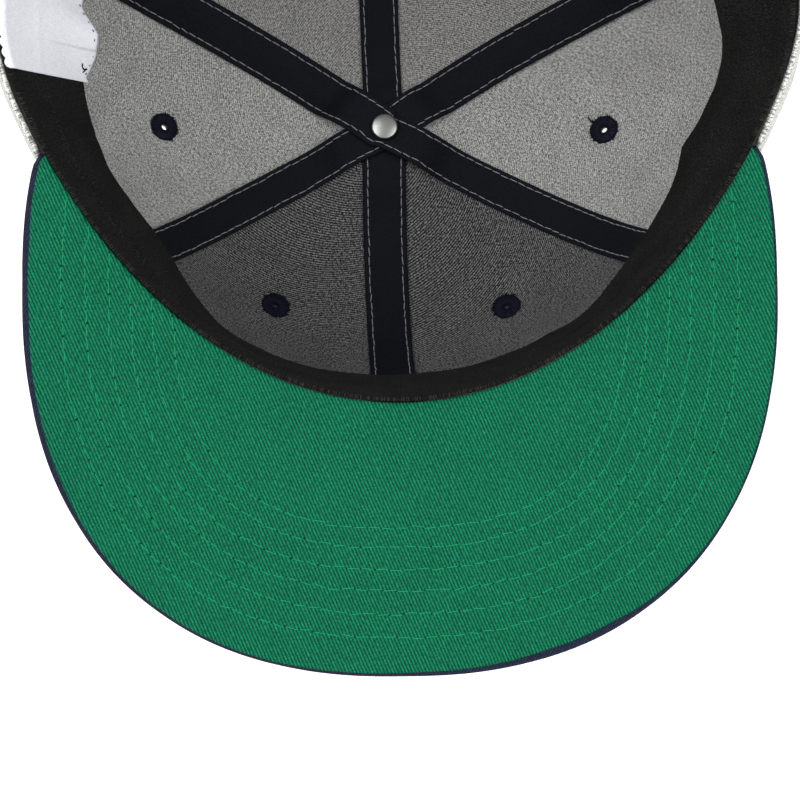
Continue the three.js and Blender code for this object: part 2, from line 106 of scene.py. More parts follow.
def unit(v):
    return v / np.maximum(np.linalg.norm(v, axis=-1, keepdims=True), 1e-12)


# Smooth value of a list that is even round the half turn, the same on both sides of the cap
def smoothValue(values, azimuth):
    row = np.array(values)
    last = len(values) - 1
    place = np.abs((np.asarray(azimuth, float) + 180) % 360 - 180) * last / 180
    index = np.minimum(np.floor(place).astype(int), last - 1)
    t = place - index

    def at(k):
        k = np.abs(k)
        return row[np.where(k > last, 2 * last - k, k)]

    a, b, c, d = at(index - 1), at(index), at(index + 1), at(index + 2)
    return b + 0.5 * t * (c - a + t * (2 * a - 5 * b + 4 * c - d + t * (3 * (b - c) + d - a)))


def rimPoint(azimuth, outwards=0.0):
    reach = crown["openingHalfWidth"] * smoothValue(rimReach, azimuth) + outwards
    angle = np.radians(azimuth)
    x, y = reach * np.sin(angle), -reach * np.cos(angle)
    front = brim["bend"] * np.minimum(1, (x / brim["halfWidth"]) ** 2)
    return np.stack([x, y, np.where(y < 0, front, brim["bend"])], -1)


# The crown's curves from the button to the rim, every half degree, at even shares of their length
turnStep = 0.5
turns = np.arange(-4, 364.1, turnStep)
azimuths = turns.copy()
for step in range(12):
    rim = rimPoint(azimuths, crown["gap"])
    towards = np.degrees(np.arctan2(rim[:, 0] - button[0], button[1] - rim[:, 1]))
    azimuths += (turns - towards + 180) % 360 - 180
rim = rimPoint(azimuths, crown["gap"])
level = (rim - button) * (1, 1, 0)
topPoint = button + level * smoothValue(crownTop, azimuths)[:, None]
flare = crown["openingHalfWidth"] * smoothValue(crownFlare, azimuths)
wallPoint = rim + unit(level) * flare[:, None]
wallPoint[:, 2] = lerp(rim[:, 2], button[2], smoothValue(crownWall, azimuths))
along = np.linspace(0, 1, 241)[None, :, None]
curves = (
    button * (1 - along) ** 3
    + 3 * topPoint[:, None] * along * (1 - along) ** 2
    + 3 * wallPoint[:, None] * along**2 * (1 - along)
    + rim[:, None] * along**3
)
runs = np.cumsum(np.linalg.norm(np.diff(curves, axis=1, prepend=curves[:, :1]), axis=2), axis=1)
curveLength = runs[:, -1]
shares = np.linspace(0, 1, 241)
curvePoints = np.stack(
    [
        np.stack([np.interp(shares * run[-1], run, curve[:, k]) for k in range(3)], -1)
        for curve, run in zip(curves, runs)
    ]
)
aroundCrown = np.gradient(curvePoints, axis=0)
curveNormals = unit(np.cross(aroundCrown, np.gradient(curvePoints, axis=1)))
curveNormals[:, 0] = (0, 0, -1)


# Point and outward normal of the panels' inner face, before it is swelled and laid down
def surfaceAt(direction, share):
    direction, share = np.broadcast_arrays(direction, share)
    i = (np.mod(direction, 360) - turns[0]) / turnStep
    j = np.clip(share, 0, 1) * (len(shares) - 1)
    i0 = np.floor(i).astype(int)
    j0 = np.minimum(np.floor(j).astype(int), len(shares) - 2)
    fi, fj = (i - i0)[..., None], (j - j0)[..., None]

    def mixed(table):
        near = lerp(table[i0, j0], table[i0, j0 + 1], fj)
        return lerp(near, lerp(table[i0 + 1, j0], table[i0 + 1, j0 + 1], fj), fi)

    return mixed(curvePoints), unit(mixed(curveNormals))


def lengthAt(direction):
    return np.interp(np.mod(direction, 360), turns, curveLength)


def reachAt(direction, share):
    point = surfaceAt(direction, share)[0]
    return np.maximum(np.hypot(point[..., 0] - button[0], point[..., 1] - button[1]), 0.05)


def seamTurn(seam, share):
    direction, bow = seams[seam][:2]
    return direction + bow * (1 - np.clip(share, 0, 1)) ** 2


def swellAt(direction, share):
    lows = np.stack([seamTurn(seam, share) for seam in seams])
    highs = np.concatenate([lows[1:], lows[:1] + 360])
    angle = (direction - lows[0]) % 360 + lows[0]
    index = ((lows <= angle).sum(0) - 1)[None]
    low, high = np.take_along_axis(lows, index, 0)[0], np.take_along_axis(highs, index, 0)[0]
    arch = np.clip(np.sin(np.pi * np.clip(share, 0, 1)), 0, 1) ** crown["swellFullness"]
    return crown["swell"] * np.sin(np.pi * (angle - low) / (high - low)) * arch


def crownRaw(direction, share, offset):
    direction, share = np.broadcast_arrays(np.asarray(direction, float), np.asarray(share, float))
    point, normal = surfaceAt(direction, share)
    out = offset + swellAt(direction, share)
    return point + normal * np.asarray(out)[..., None]


restTurns, restShares = np.meshgrid(np.arange(0, 360, 10.0), np.arange(0, 0.6, 0.02))
restHeight = -(crownRaw(restTurns, restShares, crown["cloth"]) @ worldUp).min() - crown["restPress"]
seat = button + worldUp * (-button @ worldUp - restHeight)
seatBox = [np.array(corner) * 1000 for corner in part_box("top_button")]
seatCentre = (seatBox[0] + seatBox[1]) / 2
shift = np.array([seatCentre[0] - seat[0], seatCentre[1], restHeight])
shift[1] -= seat[1] * math.cos(tilt) - seat[2] * math.sin(tilt)


# From the cap's own frame, in millimetres, to the row's frame, in metres
def toWorld(p):
    c, s = math.cos(tilt), math.sin(tilt)
    turned = np.stack([p[..., 0], p[..., 1] * c - p[..., 2] * s, p[..., 1] * s + p[..., 2] * c], -1)
    return (turned + shift) * 0.001


def normalToWorld(n):
    return (toWorld(n) - toWorld(np.zeros(3))) * 1000


# A point of the crown as it lies: flat on the ground where it meets it, and over the button
def crownPoint(direction, share, offset):
    point = crownRaw(direction, share, offset)
    fromButton = point - button
    height = fromButton @ worldUp
    distance = np.linalg.norm(fromButton - height[..., None] * worldUp, axis=-1)
    t = np.clip((distance - crown["buttonRadius"]) / (crown["dimpleRadius"] - crown["buttonRadius"]), 0, 1)
    rise = 1 - t**3 * (t * (6 * t - 15) + 10)
    needed = crown["cloth"] - offset + rise * (crown["buttonHeight"] + crown["gap"])
    short = np.maximum(0, needed - (point @ worldUp + restHeight))
    return toWorld(point + short[..., None] * worldUp)


# Low waves of cloth that isn't quite flat, from -1 to 1 or so; u, v and size are in millimetres
def ripple(u, v, size, seed):
    draw = np.random.default_rng(seed)
    total = 0
    for wave in range(8):
        angle, speed, phase = draw.uniform((0, 0.6, 0), (np.pi, 1.7, 2 * np.pi))
        total = total + np.sin(2 * np.pi * speed / size * (u * np.cos(angle) + v * np.sin(angle)) + phase)
    return total / 3


def roundOff(distance, radius):
    return np.sqrt(1 - (1 - np.clip(distance / radius, 0, 1)) ** 2)


# Lines from 0 to 1 that lie closer at both ends, so that rolled edges come out round
def edgedLines(count, edge):
    close = edge * (1 - np.cos(np.linspace(0, np.pi / 2, 5)))[:-1]
    return np.concatenate([close, np.linspace(edge, 1 - edge, count), (1 - close)[::-1]])


def linear(hexColour):
    channels = [int(hexColour[k : k + 2], 16) / 255 for k in (1, 3, 5)]
    return tuple(c / 12.92 if c <= 0.04045 else ((c + 0.055) / 1.055) ** 2.4 for c in channels) + (1.0,)


# Adds a node with its settings, and sets or links its inputs
def addNode(tree, kind, inputs=(), **settings):
    node = tree.nodes.new("ShaderNode" + kind)
    for name, value in settings.items():
        setattr(node, name, value)
    for socket, value in dict(inputs).items():
        if isinstance(value, bpy.types.NodeSocket):
            tree.links.new(value, node.inputs[socket])
        else:
            node.inputs[socket].default_value = value
    return node


def calculate(tree, operation, *values):
    return addNode(tree, "Math", dict(enumerate(values)), operation=operation).outputs[0]


def addNoise(tree, vector, scale, detail, roughness=0.5):
    inputs = {"Vector": vector, "Scale": scale, "Detail": detail, "Roughness": roughness}
    return addNode(tree, "TexNoise", inputs).outputs["Fac"]


def rescale(tree, value, fromLow, fromHigh, toLow, toHigh):
    inputs = {"Value": value, "From Min": fromLow, "From Max": fromHigh, "To Min": toLow, "To Max": toHigh}
    return addNode(tree, "MapRange", inputs).outputs["Result"]


def stretched(tree, vector, scale, shift=(0, 0, 0)):
    return addNode(tree, "Mapping", {"Vector": vector, "Scale": scale, "Location": shift}).outputs["Vector"]


def mixColours(tree, share, low, high):
    return addNode(tree, "Mix", {"Factor": share, 6: low, 7: high}, data_type="RGBA").outputs[2]


def newMaterial(name):
    material = bpy.data.materials.new(name)
    material.use_nodes = True
    material.node_tree.nodes.clear()
    return material, material.node_tree


# Ends a material; depth is how deep its fine relief goes, in metres
def endMaterial(tree, look, colour, roughness, height, depth):
    relief = addNode(tree, "Bump", {"Height": height, "Strength": look["bump"], "Distance": depth})
    inputs = {
        "Base Color": colour,
        "Roughness": roughness,
        "Normal": relief.outputs["Normal"],
        "Metallic": look["metallic"],
        "Sheen Weight": look["sheen"],
        "Sheen Roughness": 0.5,
        "Specular IOR Level": look["specular"],
    }
    shader = addNode(tree, "BsdfPrincipled", inputs)
    addNode(tree, "OutputMaterial", {"Surface": shader.outputs["BSDF"]})


# What most cloth here has. The slant is in degrees, a yarn's width in millimetres, short is how much
# longer than wide its marks are, the other way round.
clothLook = {
    "angle": 60, "yarn": 0.35, "short": 0.3, "spread": 0.25, "ribGain": 0.2, "wander": 0.2, "grooveShade": 0.3,
    "uneven": 0.1, "bump": 0.5, "roughness": 0.9, "metallic": 0.0, "sheen": 0.0, "specular": 0.1,
}


# Woven cloth. Its tones go from dark to light; rib is the distance between its diagonal lines.
def wovenMaterial(name, look):
    look = {**clothLook, **look}
    material, tree = newMaterial(name)
    place = addNode(tree, "UVMap", uv_map="cloth").outputs["UV"]
    inputs = {"Vector": place, "Angle": -math.radians(look["angle"])}
    turned = addNode(tree, "VectorRotate", inputs, rotation_type="Z_AXIS").outputs["Vector"]
    across = addNode(tree, "SeparateXYZ", {"Vector": turned}).outputs["Y"]
    across = calculate(tree, "MULTIPLY", across, 1 / look["rib"])
    across = calculate(tree, "MULTIPLY_ADD", addNoise(tree, place, 0.35, 2.0), look["wander"], across)
    rib = calculate(tree, "SINE", calculate(tree, "MULTIPLY", across, 2 * math.pi))
    # single yarns lie across each rib
    fine, coarse = 1 / look["yarn"], look["short"] / look["yarn"]
    yarn = addNoise(tree, stretched(tree, turned, (fine, coarse, 1)), 1.0, 3.0, 0.65)
    weft = addNoise(tree, stretched(tree, turned, (coarse, fine, 1), (7, 3, 1)), 1.0, 3.0, 0.65)
    fibre = calculate(tree, "ADD", yarn, weft)
    fibre = rescale(tree, fibre, 1 - look["spread"], 1 + look["spread"], 0, 1)
    mixed = calculate(tree, "MULTIPLY_ADD", rib, look["ribGain"], fibre)
    if "fleck" in look:
        # loose fibres of another tone, about 1.4 mm long
        fleck = addNoise(tree, stretched(tree, turned, (2.6, 0.7, 1)), 1.0, 2.0)
        mixed = calculate(tree, "ADD", mixed, rescale(tree, fleck, 0.3, 0.7, -look["fleck"], look["fleck"]))
    ramp = addNode(tree, "ValToRGB", {"Fac": mixed})
    dark, middle, light = [linear(tone) for tone in look["tones"]]
    ramp.color_ramp.elements[0].color = dark
    ramp.color_ramp.elements[1].color = light
    ramp.color_ramp.elements.new(0.5).color = middle
    # painted shade darkens the hollows between ribs, and the whole cloth is a little uneven
    grooveShade = rescale(tree, rib, -1.0, 0.4, 1 - look["grooveShade"], 1.0)
    patch = addNoise(tree, place, 0.09, 5.0)
    uneven = rescale(tree, patch, 0.3, 0.7, 1 - look["uneven"], 1 + look["uneven"])
    inputs = {0: ramp.outputs["Color"], "Scale": calculate(tree, "MULTIPLY", grooveShade, uneven)}
    colour = addNode(tree, "VectorMath", inputs, operation="SCALE").outputs["Vector"]
    if "lint" in look:
        # a little pale lint caught on dark cloth
        lint = rescale(tree, addNoise(tree, place, 1.3, 1.0), 0.76, 0.82, 0, look["lint"])
        colour = mixColours(tree, lint, colour, linear("#8A8A88"))
    height = calculate(tree, "MULTIPLY_ADD", rib, 0.25, fibre)
    endMaterial(tree, look, colour, look["roughness"], height, 0.00025)
    return material


# A smooth or softly worn surface with fine unevenness; grain is in millimetres
def plainMaterial(name, look):
    look = {"metallic": 0.0, "sheen": 0.0, "specular": 0.5, **look}
    material, tree = newMaterial(name)
    noise = addNoise(tree, addNode(tree, "TexCoord").outputs["Object"], 1000 / look["grain"], 4.0)
    dark, light = [linear(tone) for tone in look["tones"]]
    colour = mixColours(tree, noise, dark, light)
    roughness = rescale(tree, noise, 0, 1, look["roughness"] * 0.85, look["roughness"] * 1.15)
    endMaterial(tree, look, colour, roughness, noise, 0.0001)
    return material


# Brushed heather twill: a light grey melange of pale and dark fibres with soft diagonal ribs
heatherLook = {
    "tones": ("#6E6E6A", "#B2B2AD", "#E0E0DB"), "rib": 0.62, "angle": -21, "yarn": 0.24, "spread": 0.12,
    "wander": 0.35, "grooveShade": 0.12, "uneven": 0.04, "bump": 0.2, "roughness": 0.95, "sheen": 0.05, "specular": 0.15,
}
heatherTwill = wovenMaterial("brushedHeatherTwill", {**heatherLook, "fleck": 0.4, "bump": 0.08})
# the inside face is a copy of the same heather made darker: painted shade of the crown's hollow
insideShadeTones = {"tones": ("#545452", "#8A8A87", "#BCBCB9"), "ribGain": 0.12, "fleck": 0.2, "uneven": 0.09}
shadedHeatherInside = wovenMaterial("shadedHeatherTwillInside", {**heatherLook, **insideShadeTones})
# the back panels' inside is darker still: more painted shade, for how the light falls on them
rearShadeTones = {"tones": ("#454544", "#747472", "#A09F9D"), "fleck": 0.2, "uneven": 0.08}
shadedHeatherRear = wovenMaterial("shadedHeatherTwillInsideRear", {**heatherLook, **rearShadeTones})
# Stiffened backing twill: dark grey heather with clearer, harder ribs
backingTwill = wovenMaterial("stiffenedBackingTwill", {
    "tones": ("#1A1A1A", "#3C3C3C", "#7E7E7E"), "rib": 0.72, "angle": -21, "yarn": 0.28, "short": 0.35, "fleck": 0.22,
    "spread": 0.12, "ribGain": 0.34, "wander": 0.15, "grooveShade": 0.48, "bump": 0.4, "roughness": 0.95, "sheen": 0.02,
})
# Green cotton twill: fine steep ribs, matt
greenTwill = wovenMaterial("greenCottonTwill", {
    "tones": ("#054530", "#095F42", "#127B56"), "rib": 0.79, "angle": 113, "ribGain": 0.15, "wander": 0.12,
    "grooveShade": 0.62, "uneven": 0.06,
})
# Black cotton twill: dark and matt, steep ribs that only just show
blackTwill = wovenMaterial("blackCottonTwill", {
    "tones": ("#050505", "#101010", "#252524"), "rib": 0.6, "short": 0.4, "lint": 0.5, "spread": 0.14,
    "ribGain": 0.16, "wander": 0.4, "uneven": 0.3,
})
# Woven cotton tape: nearly black navy, close and flat
cottonTape = wovenMaterial("wovenCottonTape", {
    "tones": ("#08080D", "#0D0E15", "#141620"), "rib": 0.5, "angle": 45, "yarn": 0.3, "spread": 0.3,
    "ribGain": 0.1, "grooveShade": 0.25, "bump": 0.4, "roughness": 0.8, "specular": 0.12,
})
# Navy cotton twill of the brim, button and binding: matt, soft ribs
navyTwill = wovenMaterial("navyCottonTwill", {
    "tones": ("#0D1322", "#161E30", "#222C42"), "rib": 0.65, "grooveShade": 0.4, "uneven": 0.08, "sheen": 0.02,
    "specular": 0.15,
})
# Satin ribbon: smooth and white with a faint weft and soft gloss
satinRibbon = wovenMaterial("satinRibbon", {
    "tones": ("#C7C7D0", "#D5D5DC", "#E3E3E9"), "rib": 0.5, "angle": 90, "yarn": 0.3, "short": 0.2, "spread": 0.3,
    "ribGain": 0.1, "wander": 0.1, "grooveShade": 0.04, "uneven": 0.02, "bump": 0.15, "roughness": 0.45, "specular": 0.4,
})


# Spun polyester thread: softly shiny, a little fuzzy
def threadMaterial(name, dark, light, roughness, sheen=0.0, specular=0.12):
    look = {"tones": (dark, light), "grain": 0.25, "roughness": roughness, "bump": 0.4}
    return plainMaterial(name, {**look, "sheen": sheen, "specular": specular})


greyThread = threadMaterial("greyPolyesterThread", "#6C6C76", "#8E8E98", 0.55, sheen=0.2)
greenThread = threadMaterial("greenPolyesterThread", "#0D7850", "#14935F", 0.6, specular=0.1)
navyThread = threadMaterial("navyPolyesterThread", "#060813", "#0D1022", 0.65)
blackThreadAndHoleShade = threadMaterial("blackPolyesterThreadAndHoleShade", "#080808", "#101010", 0.7)
paleThread = threadMaterial("palePolyesterThread", "#A8A8A4", "#C9C9C4", 0.6, sheen=0.2)
# Nickel-plated steel, tumbled: bright grey with soft reflections, its colour darkened with painted shade for the dim
# surroundings that it reflects
nickelShadedLook = {"tones": ("#757674", "#868785"), "grain": 0.6, "roughness": 0.31, "bump": 0.08, "metallic": 1.0}
shadedNickelSteel = plainMaterial("nickelPlatedSteelShaded", nickelShadedLook)
# Moulded polyethylene: satin navy plastic
plasticLook = {"tones": ("#151B2B", "#1A2133"), "grain": 0.8, "roughness": 0.42, "bump": 0.12}
mouldedPlastic = plainMaterial("mouldedPolyethylene", plasticLook)


# One mesh object from parts: points in metres, faces, places on the cloth in millimetres, faces' materials.
# A solid one stands for the CAD node of its name.
def addPiece(name, parts, materials, solid=True):
    points, faces, uv, kinds = parts
    mesh = bpy.data.meshes.new(name)
    mesh.from_pydata(np.asarray(points).tolist(), [], faces)
    corner = np.empty(len(mesh.loops), dtype=np.int32)
    mesh.loops.foreach_get("vertex_index", corner)
    mesh.uv_layers.new(name="cloth").data.foreach_set("uv", np.asarray(uv, dtype=np.float32)[corner].ravel())
    for material in materials:
        mesh.materials.append(material)
    mesh.polygons.foreach_set("material_index", np.asarray(kinds, dtype=np.int32))
    shaped = bmesh.new()
    shaped.from_mesh(mesh)
    bmesh.ops.remove_doubles(shaped, verts=shaped.verts, dist=1e-7 if solid else 0.0)
    bmesh.ops.recalc_face_normals(shaped, faces=shaped.faces)
    for face in shaped.faces:
        face.smooth = True
    shaped.to_mesh(mesh)
    shaped.free()
    piece = bpy.data.objects.new(name, mesh)
    scene.collection.objects.link(piece)
    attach(piece, "root")
    if solid:
        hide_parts(name)


# A closed sheet between two faces. pointAt(a, b, side) gives points, skip(a, b) tells cells to leave open.
def sheetParts(pointAt, uvAt, acrossLines, alongLines, otherFace=0, skip=None):
    a, b = np.meshgrid(acrossLines, alongLines, indexing="ij")
    n, m = a.shape
    points = np.concatenate([pointAt(a, b, side).reshape(-1, 3) for side in (0, 1)])
    uv = np.tile(uvAt(a, b).reshape(-1, 2), (2, 1))
    isOpen = np.zeros((n - 1, m - 1), bool) if skip is None else skip(a, b)
    faces, kinds = [], []
    below = n * m
    for i in range(n - 1):
        for j in range(m - 1):
            if isOpen[i, j]:
                continue
            q = (i * m + j, (i + 1) * m + j, (i + 1) * m + j + 1, i * m + j + 1)
            faces.append(q)
            faces.append(tuple(below + k for k in q[::-1]))
            kinds += [0, otherFace]
            # walls where the next cell is missing or open
            for di, dj, p, r in ((-1, 0, q[3], q[0]), (1, 0, q[1], q[2]), (0, -1, q[0], q[1]), (0, 1, q[2], q[3])):
                ni, nj = i + di, j + dj
                if not (0 <= ni < n - 1 and 0 <= nj < m - 1) or isOpen[ni, nj]:
                    faces.append((r, p, below + p, below + r))
                    kinds.append(0)
    return points, faces, uv, kinds


def addSheet(name, pointAt, uvAt, acrossLines, alongLines, materials, slot, skip=None):
    parts = sheetParts(pointAt, uvAt, acrossLines, alongLines, len(materials) - 1, skip)
    addPiece(name, parts, materials)


def shifted(faces, start):
    return [tuple(start + k for k in face) for face in faces]


# Several lots of parts in one
def joinParts(lots):
    points, faces, uv, kinds = [], [], [], []
    start = 0
    for lotPoints, lotFaces, lotUv, lotKinds in lots:
        points.append(lotPoints)
        uv.append(lotUv)
        faces += shifted(lotFaces, start)
        kinds += lotKinds
        start += len(lotPoints)
    return np.concatenate(points), faces, np.concatenate(uv), kinds


# Distances along a line of points
def runAlong(path):
    return np.concatenate([[0], np.cumsum(np.linalg.norm(np.diff(path, axis=0), axis=1))])


# A line for stitches to lie on: its points, and the way in which they stand off the cloth
def stitchLine(pointAt, low, high):
    path = pointAt(low)
    return path, unit(pointAt(high) - path)


# Faces of a tube made of rings
def tubeFaces(rings, around, closed=False):
    faces = [
        (i * around + k, i * around + q, (i + 1) * around + q, (i + 1) * around + k)
        for i in range(rings - 1)
        for k, q in zip(range(around), [*range(1, around), 0])
    ]
    if closed:
        faces += [tuple(range(around))[::-1], tuple(range((rings - 1) * around, rings * around))]
    return faces


# How most thread lies here: how much of the pitch shows, its size, height and unevenness in millimetres
stitchLook = {"fill": 0.85, "radius": 0.17, "width": 1.1, "lift": 0.12, "sink": 0.06, "sway": 0.04}


# Thread laid along rows of (points, normals), in metres, one arched stitch after another
def addStitches(name, rows, look, materials, seed):
    look = {**stitchLook, **look}
    draw = np.random.default_rng(seed)
    t = np.linspace(0, 1, 8)
    arch = np.sin(np.pi * t)
    ring = np.linspace(0, 2 * np.pi, 7)[:-1]
    tube = tubeFaces(8, 6, closed=True)
    bead = [face for h in range(4) for face in ((h, (h + 1) % 4, 4), ((h + 1) % 4, h, 5))]
    points, faces, kinds = [], [], []
    start = 0
    for path, normals in rows:
        run = runAlong(path)
        count = int(run[-1] * 1000 / look["pitch"])
        if count < 1:
            continue
        pitch = run[-1] / count
        s = (np.arange(count) + (1 - look["fill"]) / 2)[:, None] * pitch + t * pitch * look["fill"]
        centre, normal = [np.stack([np.interp(s, run, row[:, k]) for k in range(3)], -1) for row in (path, normals)]
        normal = unit(normal)
        tangent = unit(np.gradient(centre, axis=1))
        side = unit(np.cross(normal, tangent))
        thick = look["radius"] * 0.001 * (0.5 + 0.5 * arch[:, None] ** 0.5)
        lift = 0.001 * (look["lift"] * arch**0.6 - look["sink"])
        aside, askew = [draw.normal(0, look["sway"] * 0.001, (count, 1)) for way in range(2)]
        centre = centre + normal * lift[:, None] + side * (aside + askew * (2 * t - 1))[..., None]
        rings = (
            centre[:, :, None]
            + normal[:, :, None] * (thick * np.sin(ring))[..., None]
            + side[:, :, None] * (thick * np.cos(ring) * look["width"])[..., None]
        )
        parts = [(rings, tube)]
        if "hole" in look:
            # painted shade: little dark beads in the cloth stand for the shade in the pricked holes that the thread
            # goes down through
            size = look["hole"] * 0.001 * draw.uniform(0.1, 1.0, count)[:, None]
            place = centre[:, 0] + normal[:, 0] * look["sink"] * 0.001
            tips = [tangent[:, 0], side[:, 0], -tangent[:, 0], -side[:, 0]]
            tips += [normal[:, 0] * 0.45, -normal[:, 0] * 0.45]  # flattened
            parts.append((np.stack([place + size * tip for tip in tips], 1), bead))
        for kind, (shape, pattern) in enumerate(parts):
            points.append(shape.reshape(-1, 3))
            step = len(points[-1]) // count
            for k in range(count):
                faces += shifted(pattern, start + k * step)
            kinds += [kind] * (count * len(pattern))
            start += count * step
    points = np.concatenate(points)
    addPiece(name, (points, faces, np.zeros((len(points), 2)), kinds), materials, solid=False)


# Two ways square to an axis, and the way up a slope with that axis
def squareTo(axis):
    first = unit(np.cross(axis, (0.0, 1.0, 0.2)))
    return first, np.cross(axis, first), np.array([0.0, 0.0, 1.0]) - axis[2] * axis


# A turned piece: profile of (radius, height) in millimetres about an axis at a place in metres
def turnedParts(profile, sides, place, axis, lean=0.0, stretch=0.0):
    axis = unit(np.asarray(axis, float))
    first, second, uphill = squareTo(axis)
    angles = np.linspace(0, 2 * np.pi, sides, endpoint=False)
    spokes = np.cos(angles)[:, None] * first + np.sin(angles)[:, None] * second
    spokes = spokes + stretch * (spokes @ unit(uphill))[:, None] * unit(uphill)
    profile = np.asarray(profile, float) * 0.001
    points = place + profile[:, None, :1] * spokes + profile[:, None, 1:] * (axis - lean * uphill)
    faces = tubeFaces(len(profile), sides)
    run = runAlong(profile)[:, None] * 1000
    uv = np.stack(np.broadcast_arrays(np.linspace(0, 20, sides)[None, :], run), -1).reshape(-1, 2)
    return points.reshape(-1, 3), faces, uv, [0] * len(faces)


print("stage: shapes and materials ready")

# Camera where the photograph was taken, floor and light
camera = {"place": (0.0008, -0.1488, 0.7), "pitch": 8.59, "yaw": 0.09, "roll": -0.64, "lens": 109.2}
cameraData = bpy.data.cameras.new("camera")
cameraData.lens = camera["lens"]
cameraData.sensor_width = 36
cameraData.clip_start = 0.01
cameraObject = bpy.data.objects.new("camera", cameraData)
cameraObject.matrix_world = (
    Matrix.Translation(camera["place"])
    @ Matrix.Rotation(math.radians(camera["yaw"]), 4, "Y")
    @ Matrix.Rotation(math.radians(camera["pitch"]), 4, "X")
    @ Matrix.Rotation(math.radians(camera["roll"]), 4, "Z")
)
scene.collection.objects.link(cameraObject)
scene.camera = cameraObject

studio = {
    "floor": 2.5,
    "floorColour": "#EDEDED",
    "floorGlow": 0.35,  # a lit white table, so that hardly any shadow is left round the cap
    "world": 0.86,
    # place, size and power
    "lights": {"key": ((-0.74, 0.2, 1.22), 0.9, 14.0), "fill": ((0.8, -0.2, 1.22), 1.0, 13.2)},
}
floorMesh = bpy.data.meshes.new("floor")
half = studio["floor"]
floorMesh.from_pydata([(-half, -half, 0), (half, -half, 0), (half, half, 0), (-half, half, 0)], [], [(0, 1, 2, 3)])
floor = bpy.data.objects.new("floor", floorMesh)
floor.location.z = -0.0001
scene.collection.objects.link(floor)
floorMaterial, tree = newMaterial("palePaperSweep")
inputs = {"Base Color": linear(studio["floorColour"]), "Roughness": 0.9}
inputs.update({"Emission Color": (1, 1, 1, 1), "Emission Strength": studio["floorGlow"]})
shader = addNode(tree, "BsdfPrincipled", inputs)
addNode(tree, "OutputMaterial", {"Surface": shader.outputs["BSDF"]})
floorMesh.materials.append(floorMaterial)
floor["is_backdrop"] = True

world = bpy.data.worlds.new("studio")
world.use_nodes = True
world.node_tree.nodes["Background"].inputs["Color"].default_value = (1, 1, 1, 1)
world.node_tree.nodes["Background"].inputs["Strength"].default_value = studio["world"]
scene.world = world
scene.view_settings.view_transform = "Standard"
for name, (place, size, power) in studio["lights"].items():
    light = bpy.data.lights.new(name, "AREA")
    light.energy, light.size = power, size
    lamp = bpy.data.objects.new(name, light)
    lamp.location = place
    away = np.array(place) / np.linalg.norm(place)
    lamp.rotation_euler = (math.acos(away[2]), 0, math.atan2(away[0], -away[1]))
    scene.collection.objects.link(lamp)
print("stage: camera, floor and light")

# Crown panels
panels = {
    # from seam, to seam, the eyelet's direction and its level distance from the button, seed
    "front_right": ("front", "rightFront", 33.5, 62.0, 1),
    "side_right": ("rightFront", "rightBack", 89.5, 63.0, 2),
    "back_right": ("rightBack", "back", 150.0, 62.0, 3),
    "back_left": ("back", "leftBack", 210.0, 62.0, 4),
    "side_left": ("leftBack", "leftFront", 268.8, 62.8, 5),
    "front_left": ("leftFront", "front", 328.2, 59.7, 6),
}
panelLook = {
    "columns": 46, "rows": 84, "edge": 0.7, "seamHalfGap": 0.06, "seamDip": 0.7, "seamDipWidth": 1.5,
    "ripple": 0.16, "rippleSize": 26.0, "holeRadius": 3.0, "firstShare": crown["tipRadius"] / 130, "endShare": 1.0,
}


# Share of the way at which a panel ends in a direction: at the rim, under the brim or at the back opening
def endShares(direction, margin=0.3):
    point = surfaceAt(np.asarray(direction)[:, None], shares[None, :])[0]
    azimuth = np.interp(np.mod(direction, 360), turns, azimuths)
    short = np.abs((azimuth + 180) % 360 - 180)
    corner = brim["cornerAzimuth"]
    overBrim = (brim["thickness"] + 0.4) * smoothStep(-short, -corner - 1.4, -corner - 0.6)
    inBinding = 0.5 * smoothStep(short, 155.8, 156.6)
    end = 1 - (overBrim + inBinding) / lengthAt(direction)
    wide, high = crown["archHalfWidth"] + margin, crown["archHeight"] + margin
    inside = 1 - (point[..., 0] / wide) ** 2 - (np.minimum(point[..., 2], 0) / high) ** 2
    inside = np.where(point[..., 1] > 0, inside, -1)
    for k in np.nonzero((inside > 0).any(1))[0]:
        j = int(np.argmax(inside[k] > 0))
        gain = -inside[k, j - 1] / (inside[k, j] - inside[k, j - 1])
        end[k] = shares[j - 1] + gain * (shares[j] - shares[j - 1])
    return end


# Middle of an eyelet on the panel's inner face, and the way out through it
def eyeletSeat(direction, distance):
    share = np.interp(distance, reachAt(np.full(len(shares), direction), shares), shares)
    return stitchLine(lambda offset: crownPoint(direction, share, offset), 0.0, crown["cloth"])


# Directions, shares and distances to the edges for the cells of a cloth between two seams
def betweenSeams(a, b, first, last, halfGap, firstShare, ends):
    share = lerp(firstShare, ends, b)
    low = seamTurn(first, share)
    high = low + (seamTurn(last, share) - low) % 360
    reach = reachAt(lerp(low, high, a), share)
    inset = np.degrees(np.arcsin(np.minimum(0.9, halfGap / reach)))
    direction = lerp(low + inset, high - inset, a)
    sideways = reach * np.radians(np.minimum(direction - low - inset, high - inset - direction))
    length = lengthAt(direction)
    toEnd = np.minimum(share - firstShare, ends - share) * length
    u = reach * np.radians(direction - (low + high) / 2)
    return direction, share, sideways, toEnd, np.stack([u, share * length], -1)


